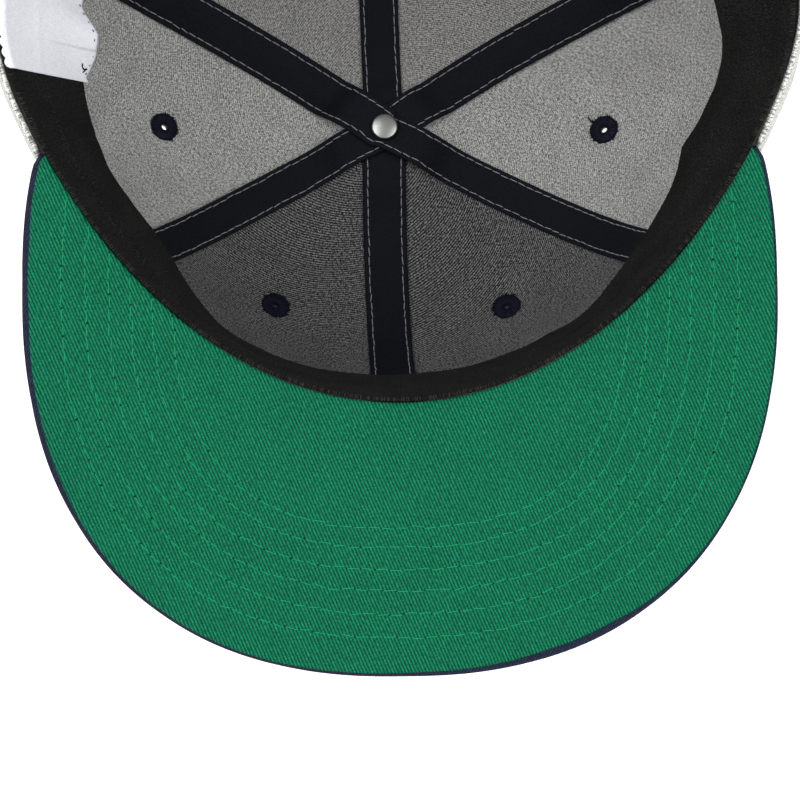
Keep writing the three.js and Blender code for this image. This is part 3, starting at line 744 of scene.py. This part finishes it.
def panelCloth(name, title, thickness, materials, slot, look):
    first, last, eyelet, distance, seed = panels[name]
    low = seams[first][0]
    high = low + (seams[last][0] - low) % 360
    columns = edgedLines(look["columns"], 0.012)
    rows = edgedLines(look["rows"], 0.008)
    end = np.minimum(endShares(lerp(low, high, columns)), look["endShare"])
    ends = np.broadcast_to(end[:, None], (len(columns), len(rows)))
    centre, axis = eyeletSeat(eyelet, distance)

    def cells(a, b):
        return betweenSeams(a, b, first, last, look["seamHalfGap"], look["firstShare"], ends)

    def pointAt(a, b, side):
        direction, share, sideways, toEnd, uv = cells(a, b)
        near = roundOff(np.minimum(sideways, toEnd), look["edge"])
        offset = look["middle"] + (side - 0.5) * thickness * near
        if "thinTip" in look:
            offset = offset * smoothStep(share * lengthAt(direction), *look["thinTip"])
        offset = offset + look["ripple"] * ripple(uv[..., 0], uv[..., 1], look["rippleSize"], seed)
        offset = offset - side * look["seamDip"] * np.exp(-((sideways / look["seamDipWidth"]) ** 2))
        point = crownPoint(direction, share, offset)
        point[..., 2] = np.maximum(point[..., 2], 0.00002)
        return point

    def skip(a, b):
        point = pointAt(a, b, 0)
        middle = (point[1:, 1:] + point[:-1, :-1] + point[1:, :-1] + point[:-1, 1:]) / 4 - centre
        aside = middle - (middle @ axis)[..., None] * axis
        return np.linalg.norm(aside, axis=-1) < look["holeRadius"] * 0.001

    addSheet(title, pointAt, lambda a, b: cells(a, b)[4], columns, rows, materials, slot, skip)


for name in panels:
    look = {**panelLook, "middle": crown["cloth"] / 2}
    title = "crown_panel_" + name
    # the inner faces take the copies with painted shade, darker still on the back panels
    inner = shadedHeatherRear if name.startswith("back") else shadedHeatherInside
    panelCloth(name, title, crown["cloth"], [inner, heatherTwill], "heather_twill", look)
print("stage: crown panels")

# Stiffened backings inside the two front panels
backingLook = {
    **panelLook, "middle": -0.75, "seamHalfGap": 0.4, "seamDip": 0.0, "edge": 0.4, "firstShare": 0.05,
    "endShare": 0.94, "ripple": 0.12, "thickness": 0.8, "thinTip": (10, 17),  # millimetres from the button
}
for hand in ("right", "left"):
    title = "front_backing_" + hand
    panelCloth("front_" + hand, title, backingLook["thickness"], [backingTwill], "backing_twill", backingLook)
print("stage: front backings")

# Tapes over the seams, each along two opposite seams and over the middle
tapes = {
    # from seam, to seam, tapes that it lies over, seam that has a backing under it
    "seam_tape_front_to_back": ("front", "back", 0, "front"),
    "seam_tape_right_back_to_left_front": ("rightBack", "leftFront", 1, "leftFront"),
    "seam_tape_left_back_to_right_front": ("leftBack", "rightFront", 2, "rightFront"),
}
tapeLook = {
    "width": 12.0, "thickness": 0.75, "layer": 1.42, "under": 1.2, "crossing": 13.0, "settle": (4.5, 9.0, 9.0),
    "height": 1.25,  # of its upper face over the panel
    "end": 0.93, "stitchInset": 1.4, "stitchDip": 0.22,
}


def tapePlace(tape, b, lateral):
    first, last, layer, backed = tapes[tape]
    place = 2 * b - 1
    result = []
    for half, sign in ((first, -1), (last, 1)):
        end = tapeLook["end"]
        if half == "back":
            end = float(endShares(np.array([seams["back"][0]]), -1.0)[0])
        share0 = np.clip(np.abs(place), 0, 1) * end
        turn = seamTurn(half, share0)
        run = share0 * lengthAt(turn)
        across = lateral * seams[half][2] * sign
        direction = turn + np.degrees(np.arctan2(across, reachAt(turn, share0)))
        share = np.hypot(run, across) / lengthAt(direction)
        settled = smoothStep(run, tapeLook["crossing"], tapeLook["crossing"] + tapeLook["settle"][layer])
        under = tapeLook["under"] if half == backed else 0
        height = tapeLook["height"] + lerp(layer * tapeLook["layer"], under, settled)
        result.append([direction, share, height, run])
    return [np.where(place < 0, before, after) for before, after in zip(*result)]


def tapePoint(tape, b, lateral, lift):
    direction, share, height = tapePlace(tape, b, lateral)[:3]
    return crownPoint(direction, share, -(height + lift))


tapeStitch = {"pitch": 2.9, "fill": 0.9, "radius": 0.13, "sink": 0.1, "sway": 0.07}
tapeRows = []
for tape in tapes:
    halfWidth = tapeLook["width"] / 2
    lines = (edgedLines(17, 0.06) * 2 - 1) * halfWidth

    def pointAt(a, b, side, tape=tape):
        toEdge = halfWidth - np.abs(a)
        run = tapePlace(tape, b, a)[3]
        pucker = 1.0 + 0.3 * np.cos(2 * np.pi * run / tapeStitch["pitch"])
        pinch = np.exp(-(((toEdge - tapeLook["stitchInset"]) / 0.5) ** 2)) * tapeLook["stitchDip"] * pucker
        lift = ((side - 0.5) * roundOff(toEdge, 0.55) - 0.5) * tapeLook["thickness"] - side * pinch
        return tapePoint(tape, b, a, lift + 0.1 * ripple(a, run, 14, 7 + tapes[tape][2]))

    def uvAt(a, b):
        return np.stack([a, (2 * b - 1) * 110], -1)

    addSheet(tape, pointAt, uvAt, lines, np.linspace(0, 1, 190), [cottonTape], "seam_tape")
    for sideways in (-1, 1):
        b = np.linspace(0.002, 0.998, 260)
        lateral = np.full_like(b, sideways * (halfWidth - tapeLook["stitchInset"]))
        tapeRows.append(stitchLine(lambda lift: tapePoint(tape, b, lateral, lift), 0.0, 1.0))
addStitches("seam_tape_stitching", tapeRows, tapeStitch, [greyThread], 11)
print("stage: seam tapes")

# Brim
widestY = -crown["openingHalfWidth"] * rimReach[0] + brim["widestBack"]


def brimEdge(turn, inset=0.0):
    angle = np.radians(turn)
    length = np.where(np.cos(angle) > 0, brim["reach"] + brim["widestBack"], brim["taperLength"])
    wide = (np.abs(np.sin(angle)) / brim["halfWidth"]) ** brim["squareness"]
    long = (np.abs(np.cos(angle)) / length) ** brim["squareness"]
    reach = (wide + long) ** (-1 / brim["squareness"]) - inset
    return np.stack([reach * np.sin(angle), widestY - reach * np.cos(angle)], -1)


edgeLine = brimEdge(np.linspace(-brim["cornerTurn"], brim["cornerTurn"], 700))


def toBrimEdge(xy):
    flat = xy.reshape(-1, 2)
    result = np.empty(len(flat))
    for k in range(0, len(flat), 4000):
        part = flat[k : k + 4000]
        result[k : k + 4000] = np.sqrt(((part[:, None] - edgeLine[None]) ** 2).sum(-1)).min(1)
    return result.reshape(xy.shape[:-1])


def brimPlace(a, b, inset):
    side = 2 * a - 1
    inner = rimPoint(side * (brim["cornerAzimuth"] + 0.6), crown["gap"] - 0.25)[..., :2]
    outer = brimEdge(side * brim["cornerTurn"], inset)
    point = 0.6 * np.clip((np.abs(side) - 0.988) / 0.012, 0, 1) ** 1.5
    return lerp(inner, lerp(outer, inner, point[..., None]), b[..., None])


def brimLevel(xy, height):
    z = brim["bend"] * (xy[..., 0] / brim["halfWidth"]) ** 2 + height
    return toWorld(np.concatenate([xy, z[..., None]], -1))


brimLook = {
    "quilt": 0.28, "rowWidth": 1.6, "ripple": 0.1, "rippleSize": 15, "edgeRoll": 1.43,
    # levels of the navy cloth's lip, of its face under the green cloth and of its middle
    "lipWidth": 2.2, "lipLevel": -0.25, "seatLevel": -0.9, "middle": -1.75,
    # how far the navy cloth shows round the green one, from the left corner to the right one
    "lip": (
        [-1, -0.9, -0.6, -0.45, -0.3, -0.1, 0.0, 0.1, 0.2, 0.28, 0.36, 0.43, 0.55, 0.75, 0.9, 1],
        [1.4, 1.5, 1.45, 1.0, 0.7, 0.75, 0.9, 1.2, 1.9, 1.8, 1.2, 0.8, 0.65, 0.65, 0.8, 1.2],
    ),
}


def quilted(xy, seed):
    distance = toBrimEdge(xy)
    rows = np.array(brim["stitchRows"])
    nearest = np.abs(distance[..., None] - rows).min(-1)
    relief = -brimLook["quilt"] * np.exp(-((nearest / brimLook["rowWidth"]) ** 2))
    return distance, relief + brimLook["ripple"] * ripple(xy[..., 0], xy[..., 1], brimLook["rippleSize"], seed)


def undersideUv(a, b):
    return brimPlace(lerp(0.003, 0.997, a), b, np.interp(2 * a - 1, *brimLook["lip"]))


def undersidePoint(a, b, side):
    xy = undersideUv(a, b)
    distance, relief = quilted(xy, 21)
    rounded = roundOff(distance - np.interp(2 * a - 1, *brimLook["lip"]), 0.7)
    return brimLevel(xy, np.where(side == 0, relief - 0.4 + 0.4 * rounded, -0.75))


def topUv(a, b):
    return brimPlace(a, b, 0.0)


# Side 0 lies against the green cloth, and comes up round it as the lip
def topPoint(a, b, side):
    xy = topUv(a, b)
    distance, relief = quilted(xy, 22)
    face = -brim["thickness"] - relief
    if side == 0:
        face = np.where(distance < brimLook["lipWidth"], brimLook["lipLevel"], brimLook["seatLevel"])
    return brimLevel(xy, lerp(brimLook["middle"], face, roundOff(distance, brimLook["edgeRoll"])))


acrossBrim = np.linspace(0, 1, 230)
alongBrim = np.concatenate([np.linspace(0, 0.985, 74), [0.99, 0.994, 0.9975, 1]])
addSheet("brim_underside", undersidePoint, undersideUv, acrossBrim, alongBrim, [greenTwill], "green_twill")
addSheet("brim_top", topPoint, topUv, acrossBrim, alongBrim, [navyTwill], "navy_twill")

rowsUnder, rowsTop = [], []
tangent = unit(np.gradient(edgeLine, axis=0))
inwards = np.stack([-tangent[:, 1], tangent[:, 0]], -1)
inwards *= np.sign(((np.array([0, widestY]) - edgeLine) * inwards).sum(-1, keepdims=True))
for distance in brim["stitchRows"]:
    line = edgeLine + inwards * distance
    line = line[np.abs(toBrimEdge(line) - distance) < 0.25]
    azimuth = np.degrees(np.arctan2(line[:, 0], -line[:, 1]))
    outside = np.hypot(line[:, 0], line[:, 1]) - np.hypot(*rimPoint(azimuth, crown["gap"])[:, :2].T)
    line = line[outside > 0.15]
    for rowList, height, way, seed in ((rowsUnder, 0.0, 1, 21), (rowsTop, -brim["thickness"], -1, 22)):
        path = brimLevel(line, height + quilted(line, seed)[1] * way)
        rowList.append((path, np.tile(normalToWorld(np.array([0.0, 0.0, way])), (len(path), 1))))
brimStitch = {"pitch": 3.45, "fill": 0.98, "radius": 0.1, "sink": 0.08, "sway": 0.16, "hole": 0.36}
# the needle-hole beads take the black thread's material, as painted shade
addStitches("brim_underside_stitching", rowsUnder, brimStitch, [greenThread, blackThreadAndHoleShade], 12)
addStitches("brim_top_stitching", rowsTop, brimStitch, [navyThread, blackThreadAndHoleShade], 13)
print("stage: brim")

# Sweatband
band = {
    "depth": 32.0, "thickness": 1.3, "rise": 1.0, "strapTuck": 11.0, "fold": 1.4, "uvReach": 96,
    "lean": [0.245, 0.21, 0.18, 0.25, 0.29, 0.37, 0.39, 0.37, 0.31, 0.28, 0.25, 0.25, 0.25],
    # how far the free edge has come away inwards, by azimuth
    "slack": (
        [-110, -95, -88, -84, -81, -77, -74, -68, -61, -57, -54, -50, -44, -38, -34, -27, -22, -10, 0]
        + [9, 16, 21, 27, 32, 38, 43, 48, 55, 62, 66, 70, 76, 82, 87, 90, 94, 98, 104, 112],
        [0, 0, 0.5, 1.9, 1.0, -0.3, -1.0, -0.8, 0.6, 1.2, 1.4, 0.7, -0.6, -1.35, -1.8, -1.3, -1.7, -1.4, -0.6]
        + [-0.3, -0.6, -0.2, 0, -1.1, -1.6, -1.5, -0.8, -0.5, 0.1, 0.6, 1.8, 0.2, -0.6, 0.1, 0.7, 1.8, 2.6, 1.5, 0],
    ),
}
reachBack = crown["openingHalfWidth"] * rimReach[-1]
strapEnd = 180 - math.degrees((crown["archHalfWidth"] + band["strapTuck"]) / reachBack)
bandEnd = strapEnd - math.degrees(0.6 / reachBack)


def bandPoint(azimuth, down, inwards):
    lean = band["depth"] * smoothValue(band["lean"], azimuth) * down
    point = rimPoint(azimuth, -lean - inwards)
    point[..., 2] += band["rise"] - band["depth"] * down
    return toWorld(point)


# How far the slack cloth stands inwards of its even shape
def bandSlack(azimuth, b):
    run = np.radians(azimuth) * crown["openingHalfWidth"]
    wave = 0.35 * ripple(run, b * band["depth"] * 0.8, 34, 31) * b
    return wave + np.interp(azimuth, *band["slack"]) * b**1.5


# Height of the cloth's face over its back at a distance from the rim: a sewn fold, then a worn ridge
def bandRelief(down, azimuth):
    fold = 0.3 * np.exp(-(((down - band["fold"]) / 0.4) ** 2))
    ridge = 12.5 + 2.5 * np.sin(np.radians(azimuth * 2.3))
    # higher on the left, and flat under the label
    worn = 0.35 + 0.4 * smoothStep(-azimuth, 20, 50) - 0.62 * smoothStep(-azimuth, 76, 83)
    return worn * np.exp(-(((down - ridge) / 0.75) ** 2)) - fold


def bandSurface(a, b, side):
    azimuth = lerp(-bandEnd, bandEnd, a)
    down = b * band["depth"]
    rounded = roundOff(np.minimum(down, band["depth"] - down), 0.6)
    inwards = band["thickness"] * (0.5 + (side - 0.5) * rounded)
    return bandPoint(azimuth, b, inwards + side * bandRelief(down, azimuth) + bandSlack(azimuth, b))


def bandUv(a, b):
    return np.stack([np.radians(lerp(-bandEnd, bandEnd, a)) * band["uvReach"], b * band["depth"]], -1)


bandLines = np.concatenate([[0, 0.003, 0.008, 0.018], np.linspace(0.03, 0.982, 36), [0.992, 0.997, 1]])
addSheet("sweatband", bandSurface, bandUv, np.linspace(0, 1, 420), bandLines, [blackTwill], "black_twill")
print("stage: sweatband")

# Rivet and button
rivetLow, rivetHigh = [np.array(corner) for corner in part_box("button_rivet")]
rivetBase = (rivetLow + rivetHigh) / 2
rivetBase[2] = rivetLow[2]
top = (rivetHigh[2] - rivetLow[2]) * 1000
rivetProfile = [(0, 0), (1.5, 0), (1.5, top - 1.5), (3.5, top - 1.5), (3.8, top - 1.35), (3.9, top - 1.1)]
rivetProfile += [(3.3 + 0.6 * math.cos(k), top - 0.95 + 0.6 * math.sin(k)) for k in np.linspace(0, 1.35, 8)]
rivetProfile += [(2.9, top - 0.25), (2.2, top - 0.14), (1.4, top - 0.06), (0.7, top - 0.02), (0, top)]
addPiece("button_rivet", turnedParts(rivetProfile, 64, rivetBase, (0, 0, 1)), [shadedNickelSteel])
buttonPlace = seatCentre * (0.001, 0.001, 0)
buttonProfile = [(0, 0), (3.0, 0.0), (4.4, 0.02), (5.6, 0.3), (6.6, 0.9), (7.3, 1.7)]
buttonProfile += [(7.55, 2.5), (7.4, 3.2), (6.9, 3.7), (0, 3.75)]
addPiece("top_button", turnedParts(buttonProfile, 48, buttonPlace, (0, 0, 1)), [navyTwill])

# Eyelets, sewn over a ring with thread, from straight above, so that their holes lean on the slope
eyeletLook = {
    "ring": [(1.0, 0.35), (2.2, 0.6), (3.4, 0.5), (4.05, 0.1), (4.1, -0.15), (2.0, -0.15)],
    "stitches": 46,
    "stitchEnd": 4.3,
    # side and back eyelets, then the front ones with a backing
    "inside": (0.3, 1.5),
    "lean": (0.5, 0.62),
    "stretch": (0.08, 0.16),
}
threadLook = {"fill": 1.0, "radius": 0.24, "width": 1.0, "lift": 0.0, "sink": 0.0, "sway": 0.0}
for name, (first, last, direction, distance, seed) in panels.items():
    centre, axis = eyeletSeat(direction, distance)
    draw = np.random.default_rng(seed + 40)
    inside, lean, stretch = [eyeletLook[key][name.startswith("front")] for key in ("inside", "lean", "stretch")]
    outside = crown["cloth"] + 0.1
    ring = eyeletLook["ring"]
    profile = [(r, -inside - h) for r, h in ring] + [(r, outside + h) for r, h in ring[::-1]]
    profile.append(profile[0])
    title = "eyelet_" + name
    addPiece(title, turnedParts(profile, 48, centre, axis, lean, stretch), [navyThread])
    spoke, other, uphill = squareTo(axis)
    slant = axis - lean * uphill
    uphill = unit(uphill)
    rows = []
    for side, height in ((-1, inside), (1, outside)):
        for k in range(eyeletLook["stitches"]):
            angle = 2 * np.pi * (k + draw.uniform(-0.25, 0.25)) / eyeletLook["stitches"]
            out = np.cos(angle) * spoke + np.sin(angle) * other
            out = out + stretch * (out @ uphill) * uphill
            radii = np.linspace(1.0, eyeletLook["stitchEnd"] + draw.normal(0, 0.26), 9)
            arch = height + 0.62 * np.sin(np.pi * np.linspace(0.12, 0.97, 9)) ** 0.5 - 0.08
            path = centre + 0.001 * (radii[:, None] * out + side * arch[:, None] * slant)
            rows.append((path, np.tile(side * axis, (9, 1))))
    if name == "side_right":
        # the end of the thread was left on
        tail = np.linspace(0, 1, 9)[:, None]
        out, bent = -np.cos(0.5) * spoke - np.sin(0.5) * other, np.sin(0.5) * spoke - np.cos(0.5) * other
        path = centre + 0.001 * (-(inside + 0.5) * slant + (3.2 + 3.4 * tail) * out + 0.8 * tail**2 * bent)
        rows.append((path, np.tile(-axis, (9, 1))))
    threadLook["pitch"] = runAlong(rows[-1][0])[-1] * 990  # one stitch to a row
    addStitches(title + "_thread", rows, threadLook, [navyThread], seed + 50)
print("stage: rivet, button and eyelets")

# Size label on the sweatband, left blank: satin with a cut edge that waves where it was sewn down
labelLook = {
    "start": -84.0, "length": 44.0, "top": 0.05, "overhang": 1.7, "thickness": 0.35, "gap": 0.12, "wave": 0.12,
    "scallop": 0.5, "scallopPitch": 2.7,
    # how far the lower edge stands off the band, from the near end to the far one
    "stand": (
        [0, 0.04, 0.09, 0.16, 0.29, 0.35, 0.41, 0.46, 0.5, 0.55, 0.7, 1],
        [0.15, 0.15, 1.8, 3.6, 5.6, 6.2, 5.1, 3.7, 2.3, 1.1, 1.2, 1.0],
    ),
}
labelAngle = math.degrees(labelLook["length"] / crown["openingHalfWidth"])


def labelPoint(a, b, side):
    azimuth = labelLook["start"] - a * labelAngle
    run = a * labelLook["length"]
    scallop = labelLook["scallop"] * np.abs(np.sin(np.pi * run / labelLook["scallopPitch"])) ** 0.7 * (1 - b) ** 6
    down = lerp(labelLook["top"] - scallop, band["depth"] + labelLook["overhang"] - 0.5 * np.cos(run / 3), b)
    # over the band's rounded edge and its ridge
    face = band["thickness"] / 2 * (1 + roundOff(np.maximum(down, 0), 0.6)) + np.minimum(down, 0)
    face = face + np.maximum(bandRelief(down, azimuth), 0) + side * labelLook["thickness"] + labelLook["gap"]
    share = down / band["depth"]
    slack = bandSlack(azimuth, np.clip(share, 0, 1)) + np.interp(a, *labelLook["stand"]) * b**2
    wave = labelLook["wave"] * ripple(run, b * band["depth"], 18, 61) * b
    return bandPoint(azimuth, share, face + slack + wave)


def labelUv(a, b):
    return np.stack([a * labelLook["length"], b * band["depth"]], -1)


labelLines = np.linspace(0, 1, 120), np.linspace(0, 1, 40)
addSheet("size_label", labelPoint, labelUv, *labelLines, [satinRibbon], "label_satin")
a, b = np.linspace(0.03, 0.98, 60), np.full(60, 0.962)
labelRow = stitchLine(lambda lift: labelPoint(a, b, lift), 1.0, 2.0)
labelStitch = {"pitch": 2.5, "fill": 0.26, "width": 1.2, "lift": 0.08, "sink": 0.05, "sway": 0.12}
addStitches("size_label_stitching", [labelRow], labelStitch, [blackThreadAndHoleShade], 14)
# an end of thread at the corner
a = 0.07 + 0.05 * np.linspace(0, 1, 12) + 0.012 * np.sin(np.linspace(0, 7, 12))
b = 0.91 + 0.03 * np.sin(np.linspace(0, 5, 12))
endRow = stitchLine(lambda lift: labelPoint(a, b, lift), 1.3, 2.3)
endLook = {"pitch": 0.9, "fill": 1.1, "radius": 0.2, "width": 1.0, "lift": 0.1, "sink": 0.0, "sway": 0.05}
addStitches("size_label_thread_end", [endRow], endLook, [blackThreadAndHoleShade], 15)
print("stage: label")

# Binding of the opening at the back
binding = {"width": 4.0, "proud": 0.6}
backTurns = np.arange(150, 212, 0.25)
backShares = np.linspace(0.5, 1, 201)
backGrid = surfaceAt(backTurns[:, None], backShares[None, :])[0]


# Direction and share of a place of the crown's back, from its x and z
def backPlace(x, z):
    direction = np.full(x.shape, 180.0)
    share = np.full(x.shape, 0.8)
    for step in range(14):
        for k in range(x.size):
            column = min(int((direction[k] - 150) * 4), len(backTurns) - 1)
            share[k] = np.interp(z[k], backGrid[column, :, 2], backShares)
            row = min(int((share[k] - 0.5) * 400), len(backShares) - 1)
            direction[k] = np.interp(-x[k], -backGrid[:, row, 0], backTurns)
    return direction, share


arc = np.linspace(0, np.pi, 81)
straight = np.linspace(1, 0.05, 5) * 4.9  # the short upright ends over the arc
fromInner = np.array([0.0, 0.35, 1.2, 4.0, 4.5, 5.4, 6.3, 6.9, 7.05])
placed = []
for out in fromInner - binding["width"]:
    wide, high = crown["archHalfWidth"] + out, crown["archHeight"] + out
    x = np.concatenate([np.full(5, wide), wide * np.cos(arc), np.full(5, -wide)])
    z = np.concatenate([straight, -high * np.sin(arc), straight[::-1]])
    placed.append(backPlace(x, z))
# once round its section: line of fromInner and height, with a slot for the panel
middle, halfThick = crown["cloth"] / 2, crown["cloth"] / 2 + binding["proud"]
outline = [(0, 0.0), (1, 0.7), (2, 1.0), (3, 1.0), (4, 1.0), (5, 0.82), (6, 1.0), (7, 0.96), (8, 0.8)]
section = [(k, middle + halfThick * h) for k, h in outline]
section += [(7, crown["cloth"] + 0.02), (3, crown["cloth"] + 0.02), (3, -0.02), (7, -0.02)]
section += [(k, middle - halfThick * h) for k, h in outline[:0:-1]]
points = np.stack([crownPoint(*placed[k], h) for k, h in section], 1)
faces = tubeFaces(*points.shape[:2], closed=True)
along = runAlong(points[:, 0])[:, None] * 1000
uv = np.stack(np.broadcast_arrays(along, fromInner[[k for k, h in section]][None, :]), -1).reshape(-1, 2)
addPiece("back_arch_binding", (points.reshape(-1, 3), faces, uv, [0] * len(faces)), [navyTwill])
bindingRows = [
    stitchLine(lambda h: crownPoint(*placed[5], h), h, h + way)
    for h, way in ((crown["cloth"] + binding["proud"] - 0.1, 1), (-binding["proud"] + 0.1, -1))
]
bindingStitch = {"pitch": 2.8, "lift": 0.18}
addStitches("back_arch_binding_stitching", bindingRows, bindingStitch, [navyThread], 16)
print("stage: binding")

# Snap strap: two moulded strips, fastened, with a row of snaps
strap = {
    "width": 19.0, "thickness": 1.1, "snapPitch": 5.6, "snapRadius": 2.7,
    "down": 11.0,  # from the rim to its middle
    "ends": (208.1, 151.9),
    "levels": (0.1, -1.15),  # of the outer and the inner strip
}


def stripParts(start, end, outwards):
    reach = math.radians(abs(end - start)) * reachBack
    half = strap["width"] / 2

    def pointAt(a, b, side):
        fromEnd = (1 - a) * reach
        span = half * np.where(fromEnd < half, np.sqrt(np.clip(1 - (1 - fromEnd / half) ** 2, 0.0004, 1)), 1)
        height = (2 * b - 1) * span
        rounded = roundOff(np.minimum(span - np.abs(height), fromEnd + 0.02), 0.45)
        lip = 0.22 * np.exp(-(((span - np.abs(height) - 1.1) / 0.45) ** 2))
        point = rimPoint(lerp(start, end, a), outwards + (side - 0.5) * (strap["thickness"] * rounded - 2 * lip))
        point[..., 2] += height - strap["down"]
        return toWorld(point)

    def uvAt(a, b):
        return np.stack([a * reach, b * strap["width"]], -1)

    return sheetParts(pointAt, uvAt, 1 - (1 - np.linspace(0, 1, 60)) ** 1.5, edgedLines(17, 0.05))


outer, inner = strap["levels"]
lots = [stripParts(end, 180 + lap, level) for end, lap, level in zip(strap["ends"], (-9.0, 9.0), strap["levels"])]
radius = strap["snapRadius"]
for k in range(-4, 5):
    # three snaps are fastened through both strips
    high, low = outer if k >= -1 else inner, inner if k <= 1 else outer
    line = [rimPoint(180 + k * strap["snapPitch"], level) - (0, 0, strap["down"]) for level in (low, high + 10)]
    place, away = toWorld(np.array(line))
    top = high - low + 0.5
    knob = [(0, -0.95), (radius - 0.6, -0.95), (radius - 0.3, -0.8), (radius - 0.2, -0.5), (radius - 0.2, top)]
    knob += [(radius, top), (radius, top + 0.45), (radius - 0.3, top + 0.75), (radius - 0.8, top + 0.8)]
    knob += [(radius - 1.1, top + 0.35), (radius - 1.4, top + 0.3), (0.9, top + 0.75), (0, top + 0.85)]
    lots.append(turnedParts(knob, 28, place, away - place))
addPiece("snap_strap", joinParts(lots), [mouldedPlastic])
print("stage: snap strap")

# Stitching on the outside of the crown, a row on either side of each seam, and along the sweatband
outsideRows = []
for seam in seams:
    for sideways in (-2.3, 2.3):
        share = np.linspace(0.1, 0.99, 150)
        turn = seamTurn(seam, share)
        direction = turn + np.degrees(np.arctan2(sideways, reachAt(turn, share)))
        stop = endShares(np.array([direction[-1]]))[0] - 0.012
        direction, share = direction[share < stop], share[share < stop]
        cloth = crown["cloth"]
        path, normal = stitchLine(lambda offset: crownPoint(direction, share, offset), cloth - 0.1, cloth + 1)
        path[:, 2] = np.maximum(path[:, 2], 0.00025)
        outsideRows.append((path, normal))
outsideStitch = {"pitch": 2.9, "lift": 0.14}
addStitches("crown_seam_stitching", outsideRows, outsideStitch, [paleThread], 17)
bandStitch = {"down": 2.6, "pitch": 3.0, "fill": 0.9, "radius": 0.1, "lift": 0.05, "sink": 0.07, "sway": 0.06}
bandRows = []
labelEnd = labelLook["start"] - labelAngle
for low, high in ((-bandEnd + 1, labelEnd - 1), (labelLook["start"] + 1, bandEnd - 1)):
    a = (np.linspace(low, high, 300) + bandEnd) / (2 * bandEnd)
    b = np.full_like(a, bandStitch["down"] / band["depth"])
    bandRows.append(stitchLine(lambda side: bandSurface(a, b, side), 1.0, 2.0))
addStitches("sweatband_stitching", bandRows, bandStitch, [blackThreadAndHoleShade], 18)
print("stage: crown stitching")

low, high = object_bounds()
print("stage: done")
